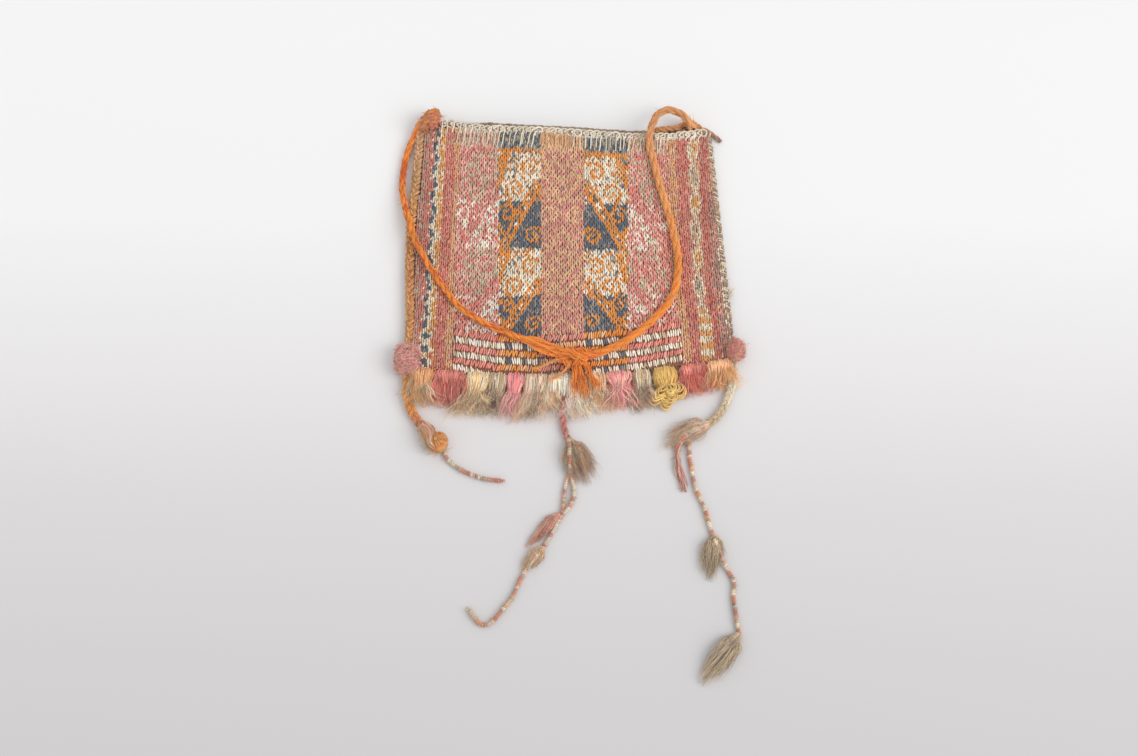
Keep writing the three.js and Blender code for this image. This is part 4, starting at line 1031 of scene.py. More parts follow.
# Cloth: the shell under the floats
def shellMesh(name, rings):
    count = len(rings[0])
    rows = len(rings)
    faces = [(row * count + k, row * count + (k + 1) % count,
              (row + 1) * count + (k + 1) % count, (row + 1) * count + k)
             for row in range(rows - 1) for k in range(count)]
    last = (rows - 1) * count
    for k in range(count // 2 - 1):
        mate = count - 1 - k
        faces.append((k, mate, mate - 1, k + 1))
        faces.append((last + k, last + k + 1, last + mate - 1, last + mate))
    mesh = bpy.data.meshes.new(name)
    mesh.from_pydata((np.concatenate(rings) * mm).tolist(), [], faces)
    mesh.shade_smooth()
    return mesh


def frontSurface(u, v):
    u, v = np.broadcast_arrays(np.asarray(u, float), np.asarray(v, float))
    roll = pouch["seam"] / 2 / pouch["height"]
    held = np.maximum(v, roll)
    place = onCloth(u, held, frontHeight(u, held) + softWave(u, held))
    turn = np.clip((roll - v) / roll, 0, 2) * math.pi / 2
    foot = pouch["seam"] / 2
    place[..., 1] -= foot * np.sin(turn)
    place[..., 2] = foot + (place[..., 2] - foot) * np.cos(turn)
    return place


def softWave(u, v):
    calm = np.clip((1 - np.abs(u)) * 5, 0, 1) * np.clip(v * 5, 0, 1)
    return calm * (0.28 * np.sin(7.1 * u + 0.6) * np.sin(5.3 * v + 0.4) + 0.2 * np.sin(11 * u - 3 * v))


def overhang(v):                           # the left edge lies wider above its middle
    return np.interp(v, [0.2, 0.42, 0.58, 0.76, 1], [0, 0.018, 0.03, 0.018, 0.01])


# the back lip reaches out far enough that its dark chain shows above the mouth as a painted shadow line
def backReach(u, v):                       # the back lip stands a little further out than the front one
    return pouch["backLip"] * np.clip(1 - (u / 0.95) ** 4, 0, 1) * np.clip((v - 0.88) / 0.12, 0, 1)


def shellRing(v, inset, frontDrop, backLift, columns=60):
    reach = 1 - inset / halfWidth(v)
    u = reach * np.sin(np.linspace(-math.pi / 2, math.pi / 2, columns))
    u = np.where(u < -0.9, -0.9 + (u + 0.9) * (1 + 10 * overhang(v)), u)
    front = onCloth(u, v, frontHeight(u, max(v, 0.012)) + softWave(u, v) - frontDrop)
    back = onCloth(u, v, backLift)
    back[:, 1] += backReach(u, v)
    rounding = 0.7 * (1 - np.clip((1 - np.abs(np.linspace(-1, 1, columns))) * 8, 0, 1))
    front[:, 2] -= rounding
    back[:, 2] += rounding
    return np.concatenate([front, back[::-1]])


heights = np.concatenate([[0.004, 0.012, 0.03], np.linspace(0.06, 1, 34)])
rings = [shellRing(0.001, 0.4, 1.6, 1.2)] + [shellRing(v, 0.2, pouch["sunk"], 0.45) for v in heights]
rings += [shellRing(1.002, 1.2, 0.9, 0.9)]
rings += [shellRing(v, pouch["seamMargin"], pouch["cloth"], pouch["cloth"])
          for v in np.linspace(0.995, 0.05, 20)]
clothPiece = bpy.data.objects.new("pouch_cloth", shellMesh("pouch_cloth", rings))
bpy.context.collection.objects.link(clothPiece)

# ground of the cloth: spun wool weft with its own rib; its dark colour is painted shade between the floats,
# darkest in painted grooves where rib and weft dip
groundShadeWool, tree, shader = newMaterial("weft_ground_painted_shade")
shader.inputs["Roughness"].default_value = 0.95
shader.inputs["Sheen Weight"].default_value = 0.15
shader.inputs["Specular IOR Level"].default_value = 0.2
ground = {"rib": 0.95, "weft": 1.28, "perBand": 0.314, "thread": "#b07c6a", "grooveShade": "#83594b"}
place = addNode(tree, "ShaderNodeTexCoord").outputs["Object"]
ribs = addNode(tree, "ShaderNodeTexWave", {
    "bands_direction": "X", "Scale": ground["perBand"] / (ground["rib"] * mm), "Distortion": 0.6,
    "Detail": 2.0, "Detail Scale": 2.0}, {"Vector": place})
wefts = addNode(tree, "ShaderNodeTexWave", {
    "bands_direction": "Y", "Scale": ground["perBand"] / (ground["weft"] * mm), "Distortion": 0.8,
    "Detail": 2.0, "Detail Scale": 2.0}, {"Vector": place})
cross = addNode(tree, "ShaderNodeMath", {"operation": "MULTIPLY"},
                {0: ribs.outputs["Fac"], 1: wefts.outputs["Fac"]})
# painted shade: the ramp gives the groove colour where the rib and weft bump is low
tint = addNode(tree, "ShaderNodeValToRGB", links={0: cross.outputs[0]})
tint.color_ramp.elements[0].color = (*linear(ground["grooveShade"]), 1)
tint.color_ramp.elements[1].color = (*linear(ground["thread"]), 1)
relief = addNode(tree, "ShaderNodeBump", {"Strength": 0.6, "Distance": 0.4 * mm},
                 {"Height": cross.outputs[0]})
tree.links.new(tint.outputs[0], shader.inputs["Base Color"])
tree.links.new(relief.outputs[0], shader.inputs["Normal"])
clothPiece.data.materials.append(groundShadeWool)
finishPiece(clothPiece, "woven_cloth", "bag_body")

# Weave: every warp float is a grain laid on the cloth; dyes follow the bands, panels and hooks of the pattern
weave = {"columns": 140, "row": 1.16, "long": 1.2, "wide": 0.45, "high": 0.36, "tilt": 18, "seed": 41,
         "sunk": 0.1, "jitter": 0.09, "bleach": 1.05, "plainRow": 0.98, "plainLong": 0.86,
         "panel": 17.5, "lean": 5, "wave": 13, "line": 0.66, "hookTall": 1.1,
         "blocks": (0.922, 0.697, 0.498, 0.299, 0.148), "lightTall": 22.9, "darkTall": 20.9,
         "stripes": ((0.148, 0.119, "warm"), (0.119, 0.091, "pale"), (0.091, 0.064, "warm"),
                     (0.064, 0.0385, "pale"), (0.0385, 0.013, "warm"), (0.013, -0.013, "pale")),
         "stripeColumns": 146, "stripeWide": 0.43, "stripeBleach": 1.24,
         "stripeSlant": {"warm": 15, "pale": -7},
         "spreadAt": (0.058, 0.128, 0.375, 0.627, 0.885), "spread": (0.077, 0.064, 0.006, -0.009, -0.026),
         "sagAt": (-0.7, -0.46, -0.22, 0.245, 0.435, 0.72), "sag": (0.017, 0.0, -0.003, 0.013, 0.018, 0.035)}
zones = [(-1.0, "edgeLeft"), (-0.952, "snakeLeft"), (-0.862, "red"), (-0.788, "tan"), (-0.752, "fieldLeft"),
         (-0.468, "panelLeft"), (-0.186, "centre"), (0.1, "panelRight"), (0.39, "fieldRight"), (0.682, "tan"),
         (0.735, "red"), (0.806, "snakeRight"), (0.892, "redRight"), (0.945, "edgeRight"), (1.01, None)]


def hookLine(middle, reach, start, turns):               # spiral of a hook, from its outer end inwards
    angles = start + fullTurn * turns * np.linspace(0, 1, 15)
    sizes = np.linspace(reach, reach * 0.22, 15)
    return [(middle[0] + size * math.cos(angle), middle[1] + weave["hookTall"] * size * math.sin(angle))
            for size, angle in zip(sizes, angles)]


# one repeat of the pattern, a light block over a dark one: its hooks and slanting bars, in millimetres
# from the panel's outer edge and down from the top of the light block
hooks = [((12.9, 8.8), 4.0, -0.5, -1.2), ((7.0, 18.2), 4.1, 2.5, 1.2), ((3.7, 28.6), 3.8, 3.5, 1.2),
         ((14.4, 38.2), 3.9, -0.5, -1.2)]
repeatLines = [hookLine(*hook) for hook in hooks]
repeatLines += [((4.9, 1.2), (-0.3, 18.3)), ((4.4, 21.2), (5.4, 25.6), (7.4, 28.5)),
                ((15.9, 14.0), (7.4, 28.5), (2.3, 40.5), (1.0, 43.8)),
                ((17.6, 16.0), (4.9, 40.1), (3.0, 43.8)), ((-0.3, 32.8), (2.3, 37.3))]
lineStarts = np.array([point for line in repeatLines for point in line[:-1]])
lineEnds = np.array([point for line in repeatLines for point in line[1:]])
rng = np.random.default_rng(weave["seed"])


def pick(*choices):
    names = choices[0::2]
    shares = np.cumsum(choices[1::2])
    return names[int(np.searchsorted(shares, rng.random() * shares[-1]))]


def sag(u):                                # the stripes hang in the middle and climb to the right
    return float(np.interp(u, weave["sagAt"], weave["sag"]))


def zoneOf(u, v):
    slope = 0.145 * (u + 0.185) if u > -0.5 else -0.046 * max(0.0, 1 - (-0.5 - u) / 0.4)
    widen = min(1.0, max(0.0, (u - 0.45) / 0.2))         # the right border runs out at the foot
    spread = np.interp(v, weave["spreadAt"], weave["spread"]) * widen
    flatU = u - slope * (v - 0.5) - float(spread)
    for (low, name), (high, _) in zip(zones, zones[1:]):
        if low <= flatU < high:
            return name, (flatU - low) / (high - low)
    return ("edgeLeft", 0.0) if flatU < 0 else ("edgeRight", 1.0)


def lineGap(x, y):
    run = lineEnds - lineStarts
    share = np.clip(((np.array([x, y]) - lineStarts) * run).sum(1) / (run ** 2).sum(1), 0, 1)
    return np.linalg.norm(lineStarts + share[:, None] * run - [x, y], axis=1).min()


def motif(x, t, block):
    down = t * weave["lightTall"] if block % 2 == 0 else weave["lightTall"] + t * weave["darkTall"]
    if lineGap(x, down) < weave["line"] or (block == 0 and down < 1.5):
        return "line"
    base = "light" if block % 2 == 0 else "dark"
    for middle, reach, _, _ in hooks:      # a hook lies on plain ground
        if math.hypot(x - middle[0], (down - middle[1]) / weave["hookTall"]) < reach + 0.8:
            return base
    # left edge of the light lozenge, then the two slanting bars
    lozenge = 4.9 - (down - 1.2) * 0.304
    firstBar = 15.9 - (down - 14) * 0.586 if down < 28.5 else 7.4 - (down - 28.5) * 0.425
    secondBar = 17.6 - (down - 16) * 0.527
    if block % 2 == 0:
        if x < lozenge:
            return pick("line", 0.72, "dash", 0.14, "light", 0.14)
        return "dots" if down > 14 and x > firstBar else pick("light", 0.6, "dash", 0.16, "line", 0.24)
    if firstBar < x < secondBar or (x < firstBar and down > 36):
        return "dots"
    return pick("dark", 0.9, "dash", 0.1)


def centreMotif(x, t, block):              # low lozenges in light blocks, curls over a peak in dark ones
    down = t * weave["lightTall"] if block % 2 == 0 else t * weave["darkTall"]
    if block % 2 == 0:
        return "line" if (down + 1.5 * x) % 7 < 3.2 else "light"
    ring = math.hypot(x - 5.2, down - 5.4)
    if abs(ring - 3.0) < 0.6 or ring < 0.9 or (down > 12 and abs(down - 13 - 1.1 * x) < 1.0):
        return "line"
    return "dark" if ring < 3 or down > 12 else "light"


panelMix = {"line": ("clay", 0.76, "orange", 0.14, "tan", 0.1),
            "light": ("white", 0.38, "cream", 0.46, "peach", 0.16),
            "dark": ("slate", 0.84, "ash", 0.1, "cocoa", 0.06),
            "dash": ("ash", 0.5, "slate", 0.25, "cocoa", 0.25),
            "dots": ("clay", 0.4, "slate", 0.2, "white", 0.2, "cocoa", 0.2)}
fieldMix = {"line": ("rose", 0.55, "red", 0.2, "blush", 0.25),
            "light": ("fawn", 0.3, "beige", 0.32, "rose", 0.22, "blush", 0.16),
            "dark": ("white", 0.4, "cream", 0.2, "rose", 0.24, "blush", 0.16),
            "dash": ("mauve", 0.5, "fawn", 0.5),
            "dots": ("rose", 0.46, "blush", 0.24, "mauve", 0.2, "beige", 0.1)}
centreMix = {"line": ("tan", 0.6, "peach", 0.3, "mauve", 0.1),
             "light": ("tan", 0.34, "mauve", 0.4, "rose", 0.26),
             "dark": ("mauve", 0.34, "rose", 0.26, "tan", 0.4)}
bandMix = {"panel": ("slate", 0.38, "ash", 0.36, "fawn", 0.26), "centre": ("tan", 0.6, "peach", 0.4),
           "field": ("beige", 0.25, "blush", 0.3, "mauve", 0.2, "tan", 0.15, "cream", 0.1)}
borderMix = {"red": ("red", 0.5, "rose", 0.25, "brick", 0.08, "mauve", 0.1, "tan", 0.07),
             "redRight": ("red", 0.36, "brick", 0.3, "mauve", 0.26, "cocoa", 0.08),
             "tan": ("tan", 0.55, "mauve", 0.15, "rust", 0.15, "ochre", 0.15)}
snake = {"leftFoot": 90, "link": 5.4, "leftWave": 11.6, "rightFoot": 79, "bar": 5.2, "lozenge": 12.2}


def leftSnakeDye(s, y):                    # slate links on a cream thread, russet beside it
    if y > snake["leftFoot"]:              # large links at the foot, looped round with cream
        down = (y - snake["leftFoot"]) % snake["link"] - snake["link"] / 2
        link = math.hypot((s - 0.34 + 0.05 * math.sin(y)) * 5.6, down)
        if link < 1.5:
            return pick("slate", 0.9, "ash", 0.1)
        if link < 2.6:
            return pick("cream", 0.7, "beige", 0.3)
        return pick("clay", 0.5, "red", 0.3, "cream", 0.2)
    wave = 0.36 + 0.1 * math.sin(fullTurn * y / snake["leftWave"])
    if abs(s - wave - 0.16) < 0.09:
        return pick("cream", 0.6, "white", 0.2, "beige", 0.2)
    if abs(s - wave + 0.04) < 0.13:
        if y % 5.7 < 4.2:
            return pick("slate", 0.85, "ash", 0.15)
        return pick("cream", 0.6, "beige", 0.2, "ash", 0.2)
    if s > wave:
        return pick("ochre", 0.35, "clay", 0.25, "peach", 0.2, "cream", 0.2)
    return pick("red", 0.5, "mauve", 0.3, "cream", 0.2)


def rightSnakeDye(s, y):                   # a chain of lozenges between two cream threads
    if y > snake["rightFoot"]:             # at the foot, bars of cream and orange
        if y % snake["bar"] < 2.7:
            return pick("cream", 0.55, "beige", 0.35, "white", 0.1)
        return pick("clay", 0.4, "tan", 0.35, "ochre", 0.25)
    s += 0.06 * math.sin(y / 5)
    openBy = 0.36 * abs(math.sin(math.pi * y / snake["lozenge"]))
    if abs(abs(s - 0.5) - openBy) < 0.11:
        return pick("cream", 0.4, "beige", 0.35, "tan", 0.25)
    if abs(s - 0.5) < openBy:
        if int(y / snake["lozenge"]) % 2:
            return pick("fawn", 0.4, "ash", 0.15, "tan", 0.45)
        return pick("ochre", 0.35, "clay", 0.2, "tan", 0.3, "cream", 0.15)
    return pick("mauve", 0.4, "tan", 0.3, "red", 0.3)


def plainDye(zone, s, y):
    if zone == "snakeLeft":
        return leftSnakeDye(s, y)
    if zone == "snakeRight":
        return rightSnakeDye(s, y)
    if zone == "edgeLeft":
        if s < 0.45:
            return pick("mauve", 0.4, "red", 0.2, "fawn", 0.2, "cocoa", 0.2)
        return pick("red", 0.6, "rose", 0.2, "mauve", 0.2)
    if zone == "edgeRight":
        if s < 0.75:
            return pick("cocoa", 0.52, "mauve", 0.28, "tan", 0.12, "rose", 0.08)
        return pick("cream", 0.45, "cocoa", 0.4, "fawn", 0.15)
    return pick(*borderMix[zone])


def stripeDye(zone, kind, u):
    if zone.startswith("panel"):
        if kind == "warm":
            return pick("clay", 0.7, "orange", 0.15, "tan", 0.15)
        if (u * 64) % 6.5 < 2.2:           # slate checks, even along the stripe
            return pick("slate", 0.75, "ash", 0.25)
        return pick("white", 0.66, "cream", 0.2, "fawn", 0.14)
    if zone == "centre":
        if kind == "warm":
            return pick("mauve", 0.55, "rose", 0.35, "tan", 0.1)
        return pick("tan", 0.5, "fawn", 0.25, "peach", 0.25)
    if kind == "warm":
        return pick("red", 0.46, "rose", 0.46, "blush", 0.08)
    return pick("white", 0.42, "cream", 0.3, "fawn", 0.2, "grey", 0.08)


patterned = ("fieldLeft", "panelLeft", "centre", "panelRight", "fieldRight")
pitch = 2 / weave["columns"]
floats = []                                # u, v, half length, tilt, dye, part of the cloth
for column in range(-4, weave["columns"] + 1):
    u = (column + 0.5) * pitch - 1
    tall = float(mouthY(u) - foldY(u))
    parity = column % 2
    for row in range(int(tall / weave["plainRow"]) + 1):  # borders: short floats in even rows
        v = 1 - (row + 0.5 * parity) * weave["plainRow"] / tall
        zone, s = zoneOf(u, v)
        if zone not in patterned and v > -0.01 and u > -1 - overhang(v):
            slant = weave["tilt"] * (1 if parity else -1)
            floats.append((u, v, weave["plainLong"], slant, plainDye(zone, s, (1 - v) * tall), 1))
    for row in range(int(tall / weave["row"]) + 1):
        v = 1 - (row + 0.5 * parity) * weave["row"] / tall
        zone, s = zoneOf(u, v)
        ends = (*weave["blocks"][1:4], weave["blocks"][-1] + sag(u))
        if zone not in patterned:
            continue
        if v > weave["blocks"][0]:
            slant = rng.normal(4, 9)
            part = "centre" if zone == "centre" else zone[:5]
            floats.append((u, v, weave["long"] * 1.1, slant, pick(*bandMix[part]), 0))
        if v > weave["blocks"][0] or v < ends[-1]:
            continue
        block = next(k for k in range(4) if v >= ends[k])
        high, low = weave["blocks"][block], ends[block]
        t = (high - v) / (high - low)
        mirrored = zone.endswith("Right") or (zone == "centre" and s > 0.5)
        if zone == "centre":
            kind, mix = centreMotif(abs(s - 0.5) * weave["panel"], t, block), centreMix
        else:
            kind = motif((1 - s if mirrored else s) * weave["panel"], t, block)
            mix = panelMix if zone.startswith("panel") else fieldMix
        dye = pick(*mix[kind])
        slant = weave["lean"] * (-1 if mirrored else 1) + weave["wave"] * (1 if row % 2 else -1)
        floats.append((u, v, weave["long"], slant + rng.normal(0, 7), dye, 0))
for column in range(weave["stripeColumns"]):             # upright stitches of the stripes above the fold
    u = (column + 0.5) * 2 / weave["stripeColumns"] - 1
    zone, _ = zoneOf(u, 0.07)
    tall = float(mouthY(u) - foldY(u))
    for high, low, kind in weave["stripes"] if zone in patterned else ():
        v = (low + high) / 2 + sag(u) + rng.normal(0, 0.0014)
        half = (high - low) * tall * rng.normal(0.63, 0.04)
        slant = weave["stripeSlant"][kind] + rng.normal(0, 8)
        floats.append((u, v, half, slant, stripeDye(zone, kind, u), 2))


def floatPiece(name, rows, surface, outSign, wide=weave["wide"], bleach=weave["bleach"]):
    u = np.array([row[0] for row in rows])
    v = np.array([row[1] for row in rows])
    half = np.array([row[2] for row in rows]) * (1 + rng.normal(0, 0.06, len(rows)))
    tilt = np.radians([row[3] for row in rows])
    colours = np.array([dyes[row[4]] for row in rows]) * (1 + rng.normal(0, 0.09, (len(rows), 1))) * bleach
    step = 0.004
    rise = unit(surface(u, v + step) - surface(u, v - step))
    across = unit(surface(u + step, v) - surface(u - step, v))
    out = unit(np.cross(across, rise)) * outSign
    direction = unit(rise * np.cos(tilt)[:, None] + across * np.sin(tilt)[:, None])
    size = np.column_stack([np.full(len(rows), weave["high"]), np.full(len(rows), wide), half])
    centre = surface(u, v) - out * weave["sunk"]
    centre[:, :2] += rng.normal(0, weave["jitter"], (len(rows), 2))
    deep = np.sqrt((direction[:, 2] * half) ** 2 + (out[:, 2] * weave["high"]) ** 2)
    centre[:, 2] = np.maximum(centre[:, 2], deep)        # none goes through the table
    mesh = pointMesh(name, centre, [], [
        ("floatAlong", "FLOAT_VECTOR", "vector", direction), ("floatOut", "FLOAT_VECTOR", "vector", out),
        ("floatSize", "FLOAT_VECTOR", "vector", size * mm),
        ("yarnColor", "FLOAT_COLOR", "color", withAlpha(colours))])
    return baked(name, mesh, floatTree, {"Sides": 6, "Rings": 3, "Material": warpWool})


pattern, borders, stripes = ([row for row in floats if row[5] == part] for part in range(3))
weavePieces = [
    floatPiece("weave_front_pattern", pattern, frontSurface, 1),
    floatPiece("weave_front_borders", borders, frontSurface, 1),
    floatPiece("weave_front_stripes", stripes, frontSurface, 1, weave["stripeWide"], weave["stripeBleach"])]
print("front weave made", len(floats))

# Back of the cloth: unseen in the photograph, so plain bands in the border's dyes
backWeave = {"columns": 80, "row": 2.1, "long": 1.5, "wide": 0.68, "even": 0.86, "lift": 0.38, "roll": 0.9,
             "bands": (("red", 0.12), ("tan", 0.05), ("rose", 0.16), ("cream", 0.03), ("mauve", 0.28),
                       ("cream", 0.03), ("rose", 0.16), ("tan", 0.05), ("red", 0.12))}
bandEnds = np.cumsum([width for _, width in backWeave["bands"]])


def backSurface(u, v):
    u, v = np.broadcast_arrays(np.asarray(u, float), np.asarray(v, float))
    atSeams = np.clip((np.abs(u) - 0.97) / 0.03, 0, 1)
    atFold = np.clip((0.02 - v) / 0.02, 0, 1)
    points = onCloth(u, v, backWeave["lift"] + backWeave["roll"] * atSeams + backWeave["roll"] * atFold)
    points[..., 1] += backReach(u, v)
    return points


rows = []
for column in range(backWeave["columns"]):
    u = ((column + 0.5) / backWeave["columns"] * 2 - 1) * 0.99
    tall = float(mouthY(u) - foldY(u))
    number = int(np.searchsorted(bandEnds, (u + 1) / 2 * bandEnds[-1]))
    dye = backWeave["bands"][min(len(bandEnds) - 1, number)][0]
    for row in range(int(tall / backWeave["row"])):
        v = 1 - (row + 0.5 + 0.5 * (column % 2)) * backWeave["row"] / tall
        shown = dye if rng.random() < backWeave["even"] else "mauve"
        rows.append((u, v, backWeave["long"], weave["tilt"] * (1 if column % 2 else -1), shown, 1))
weavePieces.append(floatPiece("weave_back", rows, backSurface, -1, backWeave["wide"]))

# Band below the mouth: long slanting stitches over the plain floats
band = {"high": 0.997, "low": 0.926, "yarn": 0.27, "apart": 2.1}
bandStrands = []


def bandStitch(u, slant, lift, radius, dye):
    share = np.linspace(0, 1, 8) * rng.uniform(0.7, 1.02)
    v = band["high"] + (band["low"] - band["high"]) * share
    bend = slant * (share + 0.1 * np.sin(fullTurn * share)) / halfWidth(1)
    points = frontSurface(u - bend, v)
    points[:, 2] += lift + 0.25 * np.sin(math.pi * share) - 0.4 * (share > 0.95)
    bandStrands.append(strand(points, radius * (1 + rng.normal(0, 0.1)), uneven(dyes[dye], rng, 0.08, 8)))


for at in np.arange(-halfWidth(1), halfWidth(1), band["apart"]):
    u = (at + rng.normal(0, 0.35)) / halfWidth(1)
    zone, _ = zoneOf(u, 0.955)
    if zone == "centre":
        bandStitch(u, rng.normal(0.6, 0.8), 0.35, band["yarn"], pick("peach", 0.6, "cream", 0.2, "tan", 0.2))
    elif zone in patterned:
        bandStitch(u, rng.normal(1.7, 0.6), 0.4, band["yarn"], pick("white", 0.4, "cream", 0.6))
weavePieces.append(yarnPiece("weave_mouth_band", bandStrands))
for piece in weavePieces:
    finishPiece(piece, "woven_cloth")
print("back weave made", len(rows))

# Edges: chain stitch and whipped stitches round the mouth, a plait down the left seam, whipping on the right
edging = {"half": 1.3, "width": 2.1, "link": 2.7, "yarn": 0.46, "seed": 51, "whip": 2.7, "whipYarn": 0.34,
          "gathered": 7, "sagAt": (-0.93, -0.8, -0.6, 0.75, 1), "sag": (1.0, 0.4, -1.3, -1.3, 0.9)}
rng = np.random.default_rng(edging["seed"])
edgingStart = (wrapFoot[0] + corner["wrapRadius"] + pouch["gap"] * 2 - onCloth(0, 1)[0]) / halfWidth(1)


def lipLine(height, reach):
    u = np.linspace(edgingStart, 1.02, 160)
    line = onCloth(u, 1.0, height(u))
    line[:, 1] += pouch["gap"] + edging["half"] + reach(u)
    return line


def chain(line, link, half, yarn, colourNames, rng):
    run = measured(line)
    tangent, side, lift = bases(line)
    loop = np.array([(-0.35, 0.0, 0.45), (0.0, 0.3, 0.2), (0.35, 0.75, 0.0), (0.8, 0.95, -0.05),
                     (1.15, 0.62, 0.1), (1.28, 0.0, 0.25), (1.15, -0.62, 0.1), (0.8, -0.95, -0.05),
                     (0.35, -0.75, 0.0), (0.0, -0.3, 0.2), (-0.35, 0.0, 0.45)])
    # a dark cocoa strand under the loops: painted shade in the gaps between them
    strands = [strand(line - lift * 0.3, half * 0.45, uneven(dyes["cocoa"], rng, 0.06, len(line)) * 0.8)]
    for k in range(int(run[-1] / link)):
        spot = int(np.interp((k + 0.5) * link, run, np.arange(len(run))))
        size = 1 + rng.normal(0, 0.06)
        points = line[spot] + np.outer((loop[:, 0] - 0.45) * link * size, tangent[spot])
        aside = np.outer(loop[:, 1] * (half - yarn) * size + rng.normal(0, 0.1), side[spot])
        points += aside + np.outer(loop[:, 2] * 0.9, lift[spot])
        tone = uneven(dyes[colourNames[k % len(colourNames)]], rng, 0.07)
        strands.append(strand(smoothLine(points, 0.4), yarn, tone))
    return strands


frontLip = lipLine(lambda u: frontHeight(u, 1.0) - 0.3,
                   lambda u: np.interp(u, edging["sagAt"], edging["sag"]))
backLip = lipLine(lambda u: np.full_like(u, 0.9), lambda u: backReach(u, 1.0))
strands = chain(frontLip, edging["link"], edging["width"], edging["yarn"], ("white", "cream", "cream"), rng)
# the back lip's chain is dyed cocoa and grey: a painted shadow line above the front lip
strands += chain(backLip, edging["link"], edging["half"], edging["yarn"], ("cocoa", "cocoa", "grey"), rng)
run = measured(frontLip)
for at in np.arange(1.0, run[-1] - 1, edging["whip"]):
    k = int(np.interp(at, run, np.arange(len(run))))
    u = np.interp(k, [0, len(run) - 1], [edgingStart, 1.0])
    reach = rng.uniform(0.8, 2.0)
    drift = rng.normal(-0.5, 0.4)
    tall = float(mouthY(u) - foldY(u))
    low = frontSurface(u + drift / halfWidth(1), 1 - reach / tall) + [0, 0, 0.35]
    middle = frontSurface(u + drift / pouch["mouthWidth"], 1 - reach * 0.35 / tall) + [0, 0, 0.55]
    route = [frontLip[k] + [0, 0.6, 0.3], frontLip[k] + [0, -0.9, 0.7], middle, low, low - [0, 0.3, 0.6]]
    dye = "white" if rng.random() < 0.5 else "cream"
    strands.append(strand(smoothLine(route, 0.5), edging["whipYarn"], uneven(dyes[dye], rng, 0.08)))
lastCorner = onCloth(1, 1, pouch["seam"] / 2) + [0, pouch["gap"] + pouch["seam"] / 2, 0]
arc = np.linspace(0, fullTurn, 15)
for _ in range(edging["gathered"]):        # the chain's last loops, gathered at the right corner
    tiltBy = rng.normal(0, 0.7)
    points = lastCorner + np.column_stack([1.35 * np.cos(arc), 1.25 * np.sin(arc) * math.cos(tiltBy),
                                           1.2 * np.sin(arc + tiltBy)])
    strands.append(strand(points, edging["yarn"], uneven(dyes["cream"], rng, 0.08)))
edgingPiece = finishPiece(yarnPiece("mouth_chain_stitch", strands), "cream_wool", "mouth_edging")

seamBraid = {"radius": 2.2, "strand": 1.0, "yarn": 0.46, "pitch": 7.4, "twist": 6, "sway": 1.25, "lift": 0.6,
             "tone": 0.18, "tuckAt": (0.15, 0.4), "tuck": (0.9, 0.1), "edgeTall": 106.8, "fuzz": 90}
aboveTuft = (leftTail["width"] / 2 + 2 * pouch["gap"]) / seamBraid["edgeTall"]
v = np.linspace(leftTail["rise"] + aboveTuft, 1.0, 200)
tuckedIn = np.interp(v, seamBraid["tuckAt"], seamBraid["tuck"])
outside = seamBraid["radius"] - tuckedIn + overhang(v) * halfWidth(v)
line = onCloth(-1, v, seamBraid["radius"]) - np.outer(outside, xAxis)
strands = plaitedCord(line, seamBraid, rng, [(0, "ochre"), (0.3, "rust"), (0.6, "ochre"), (1, "tan")])
strands += fuzz(line, seamBraid["radius"], seamBraid["fuzz"], 1.0, dyes["ochre"], rng)
braidPiece = finishPiece(yarnPiece("left_seam_plait", strands), "orange_wool", "left_side_braid")

seamWhip = {"radius": 1.2, "yarn": 0.27, "pitch": 1.05, "coreTurn": 5, "edgeTall": 98.6, "wisp": 60,
            "wispAt": 0.22, "fuzz": 50}
aboveTuft = (rightTail["width"] / 2 + 2 * pouch["gap"]) / seamWhip["edgeTall"]
v = np.linspace(rightTail["rise"] + aboveTuft, 1.0, 90)
line = evenly(onCloth(1, v, pouch["seam"] / 2) + [pouch["gap"] + seamWhip["radius"], 0, 0], 0.5)
run = measured(line)
strands = []
for k in range(3):                         # the yarns that are whipped over
    turn = fullTurn * (run / seamWhip["coreTurn"] + k / 3)
    tone = uneven(dyes["cocoa" if k else "cream"], rng, 0.1, len(run))
    strands.append(strand(beside(line, 0.3 * np.cos(turn), 0.5 * np.sin(turn)), 0.5, tone))
arc = np.linspace(-0.2, math.pi + 0.2, 11)
for at in np.arange(0.8, run[-1] - 0.5, seamWhip["pitch"]):
    k = int(np.interp(at, run, np.arange(len(run))))
    pale = rng.random() < 0.45 + 0.5 * (at / run[-1])    # the stitches are paler towards the mouth
    slant = rng.normal(1.2, 0.7)
    out = rng.normal(1.45, 0.12) * np.sin(arc) - seamWhip["radius"]
    points = line[k] + np.column_stack([out, -slant * (arc / math.pi - 0.5), 1.75 * np.cos(arc)])
    dye = ("cream", "beige", "sand")[rng.integers(0, 3)] if pale else "cocoa"
    strands.append(strand(points, seamWhip["yarn"], uneven(dyes[dye], rng, 0.1)))
wispFoot = line[int(len(line) * seamWhip["wispAt"])]
t = np.linspace(0, 1, 5)[:, None]
for _ in range(seamWhip["wisp"]):          # a wisp of cream fluff that has worked out of the seam
    tip = np.array([1.0 + 2.4 * rng.random(), rng.normal(0.6, 1.6), rng.normal(0.4, 1.0)])
    bow = rng.normal(0, 0.8, 3)
    points = wispFoot + rng.normal(0, 0.4, 3) + tip * t + bow * t * (1 - t)
    strands.append(strand(points, np.linspace(0.12, 0.05, 5), uneven(dyes["white"], rng, 0.06, 5)))
strands += fuzz(line, seamWhip["radius"], seamWhip["fuzz"], 1.0, dyes["cream"], rng)
whipPiece = finishPiece(yarnPiece("right_seam_whipping", strands), "cream_wool", "right_side_seam")
print("edges made")
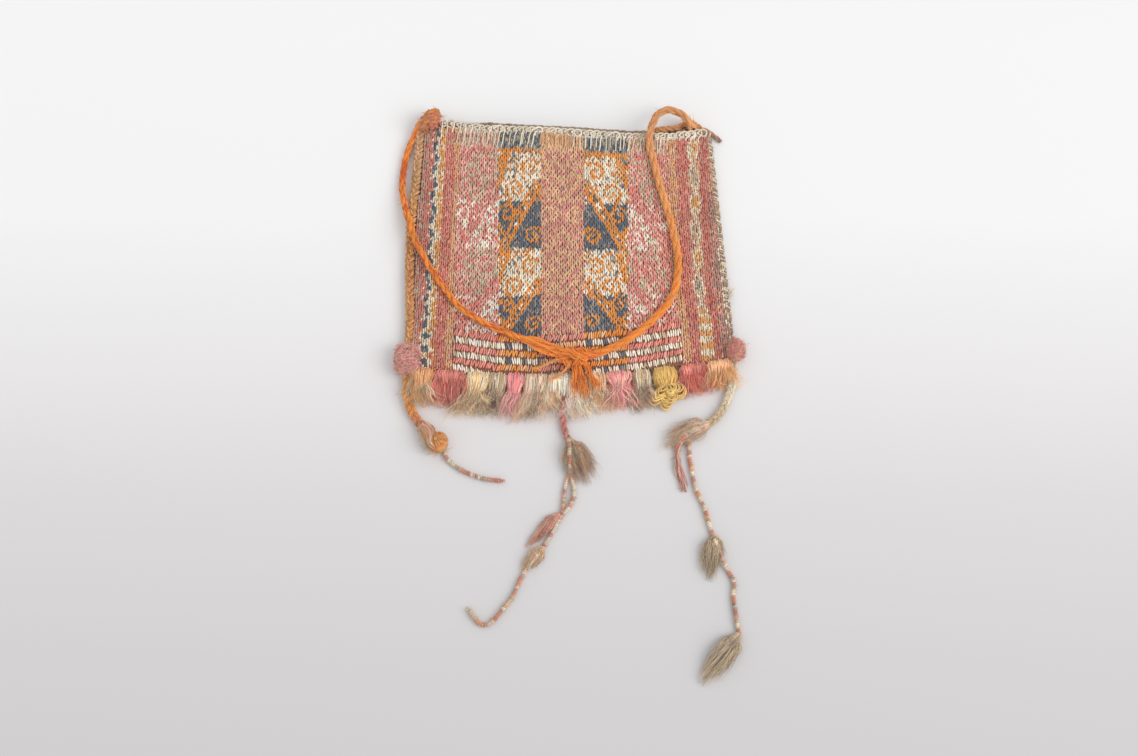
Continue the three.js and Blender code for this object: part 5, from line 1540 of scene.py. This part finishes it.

# Stage: pale paper with painted light in its colour, brighter at the back and dimmer to the right
stage = {"size": 3.0, "drop": 0.0002, "near": -0.24, "far": 0.1, "left": -0.25, "right": 0.25, "dim": 0.86,
         "paintedLightTones": ((0.0, "#d0cecf"), (0.22, "#d6d4d5"), (0.4, "#dedcdd"), (0.56, "#ebe9ea"),
                   (0.76, "#f7f7f7"), (1.0, "#f9f9f9"))}
half = stage["size"] / 2
mesh = bpy.data.meshes.new("paper_floor")
mesh.from_pydata([(-half, -half, -stage["drop"]), (half, -half, -stage["drop"]), (half, half, -stage["drop"]),
                  (-half, half, -stage["drop"])], [], [(0, 1, 2, 3)])
floor = bpy.data.objects.new("paper_floor", mesh)
bpy.context.collection.objects.link(floor)
paper, tree, shader = newMaterial("matt_paper")          # matt paper: even and dull, no gloss
shader.inputs["Roughness"].default_value = 0.95
shader.inputs["Specular IOR Level"].default_value = 0.1
spot = addNode(tree, "ShaderNodeTexCoord").outputs["Object"]
place = addNode(tree, "ShaderNodeSeparateXYZ", links={0: spot})
depth = addNode(tree, "ShaderNodeMapRange", {"From Min": stage["near"], "From Max": stage["far"]},
                {"Value": place.outputs["Y"]})
tone = addNode(tree, "ShaderNodeValToRGB", links={0: depth.outputs[0]})
ramp = tone.color_ramp.elements
for at, colour in stage["paintedLightTones"][1:-1]:
    ramp.new(at).color = (*linear(colour), 1)
ramp[0].color = (*linear(stage["paintedLightTones"][0][1]), 1)
ramp[len(ramp) - 1].color = (*linear(stage["paintedLightTones"][-1][1]), 1)
# painted shade: the paper's colour is dimmer towards the right
across = addNode(tree, "ShaderNodeMapRange", {
    "From Min": stage["left"], "From Max": stage["right"], "To Min": 1.0, "To Max": stage["dim"]},
    {"Value": place.outputs["X"]})
shaded = addNode(tree, "ShaderNodeVectorMath", {"operation": "SCALE"},
                 {"Vector": tone.outputs[0], "Scale": across.outputs[0]})
tree.links.new(shaded.outputs[0], shader.inputs["Base Color"])
floor.data.materials.append(paper)

# Light: a broad soft lamp from the lower right, and an even sky
light = {"power": 8.2, "size": 0.9, "place": (0.92, -0.25, 0.88), "sky": 0.77}
lamp = bpy.data.objects.new("soft_lamp", bpy.data.lights.new("soft_lamp", "AREA"))
bpy.context.collection.objects.link(lamp)
lamp.data.energy = light["power"]
lamp.data.size = light["size"]
lamp.location = light["place"]
lamp.rotation_euler = (-lamp.location).to_track_quat("-Z", "Y").to_euler()
world = bpy.data.worlds.new("even_sky")
world.use_nodes = True
world.node_tree.nodes["Background"].inputs["Color"].default_value = (1, 1, 1, 1)
world.node_tree.nodes["Background"].inputs["Strength"].default_value = light["sky"]
bpy.context.scene.world = world
print("stage and light set")
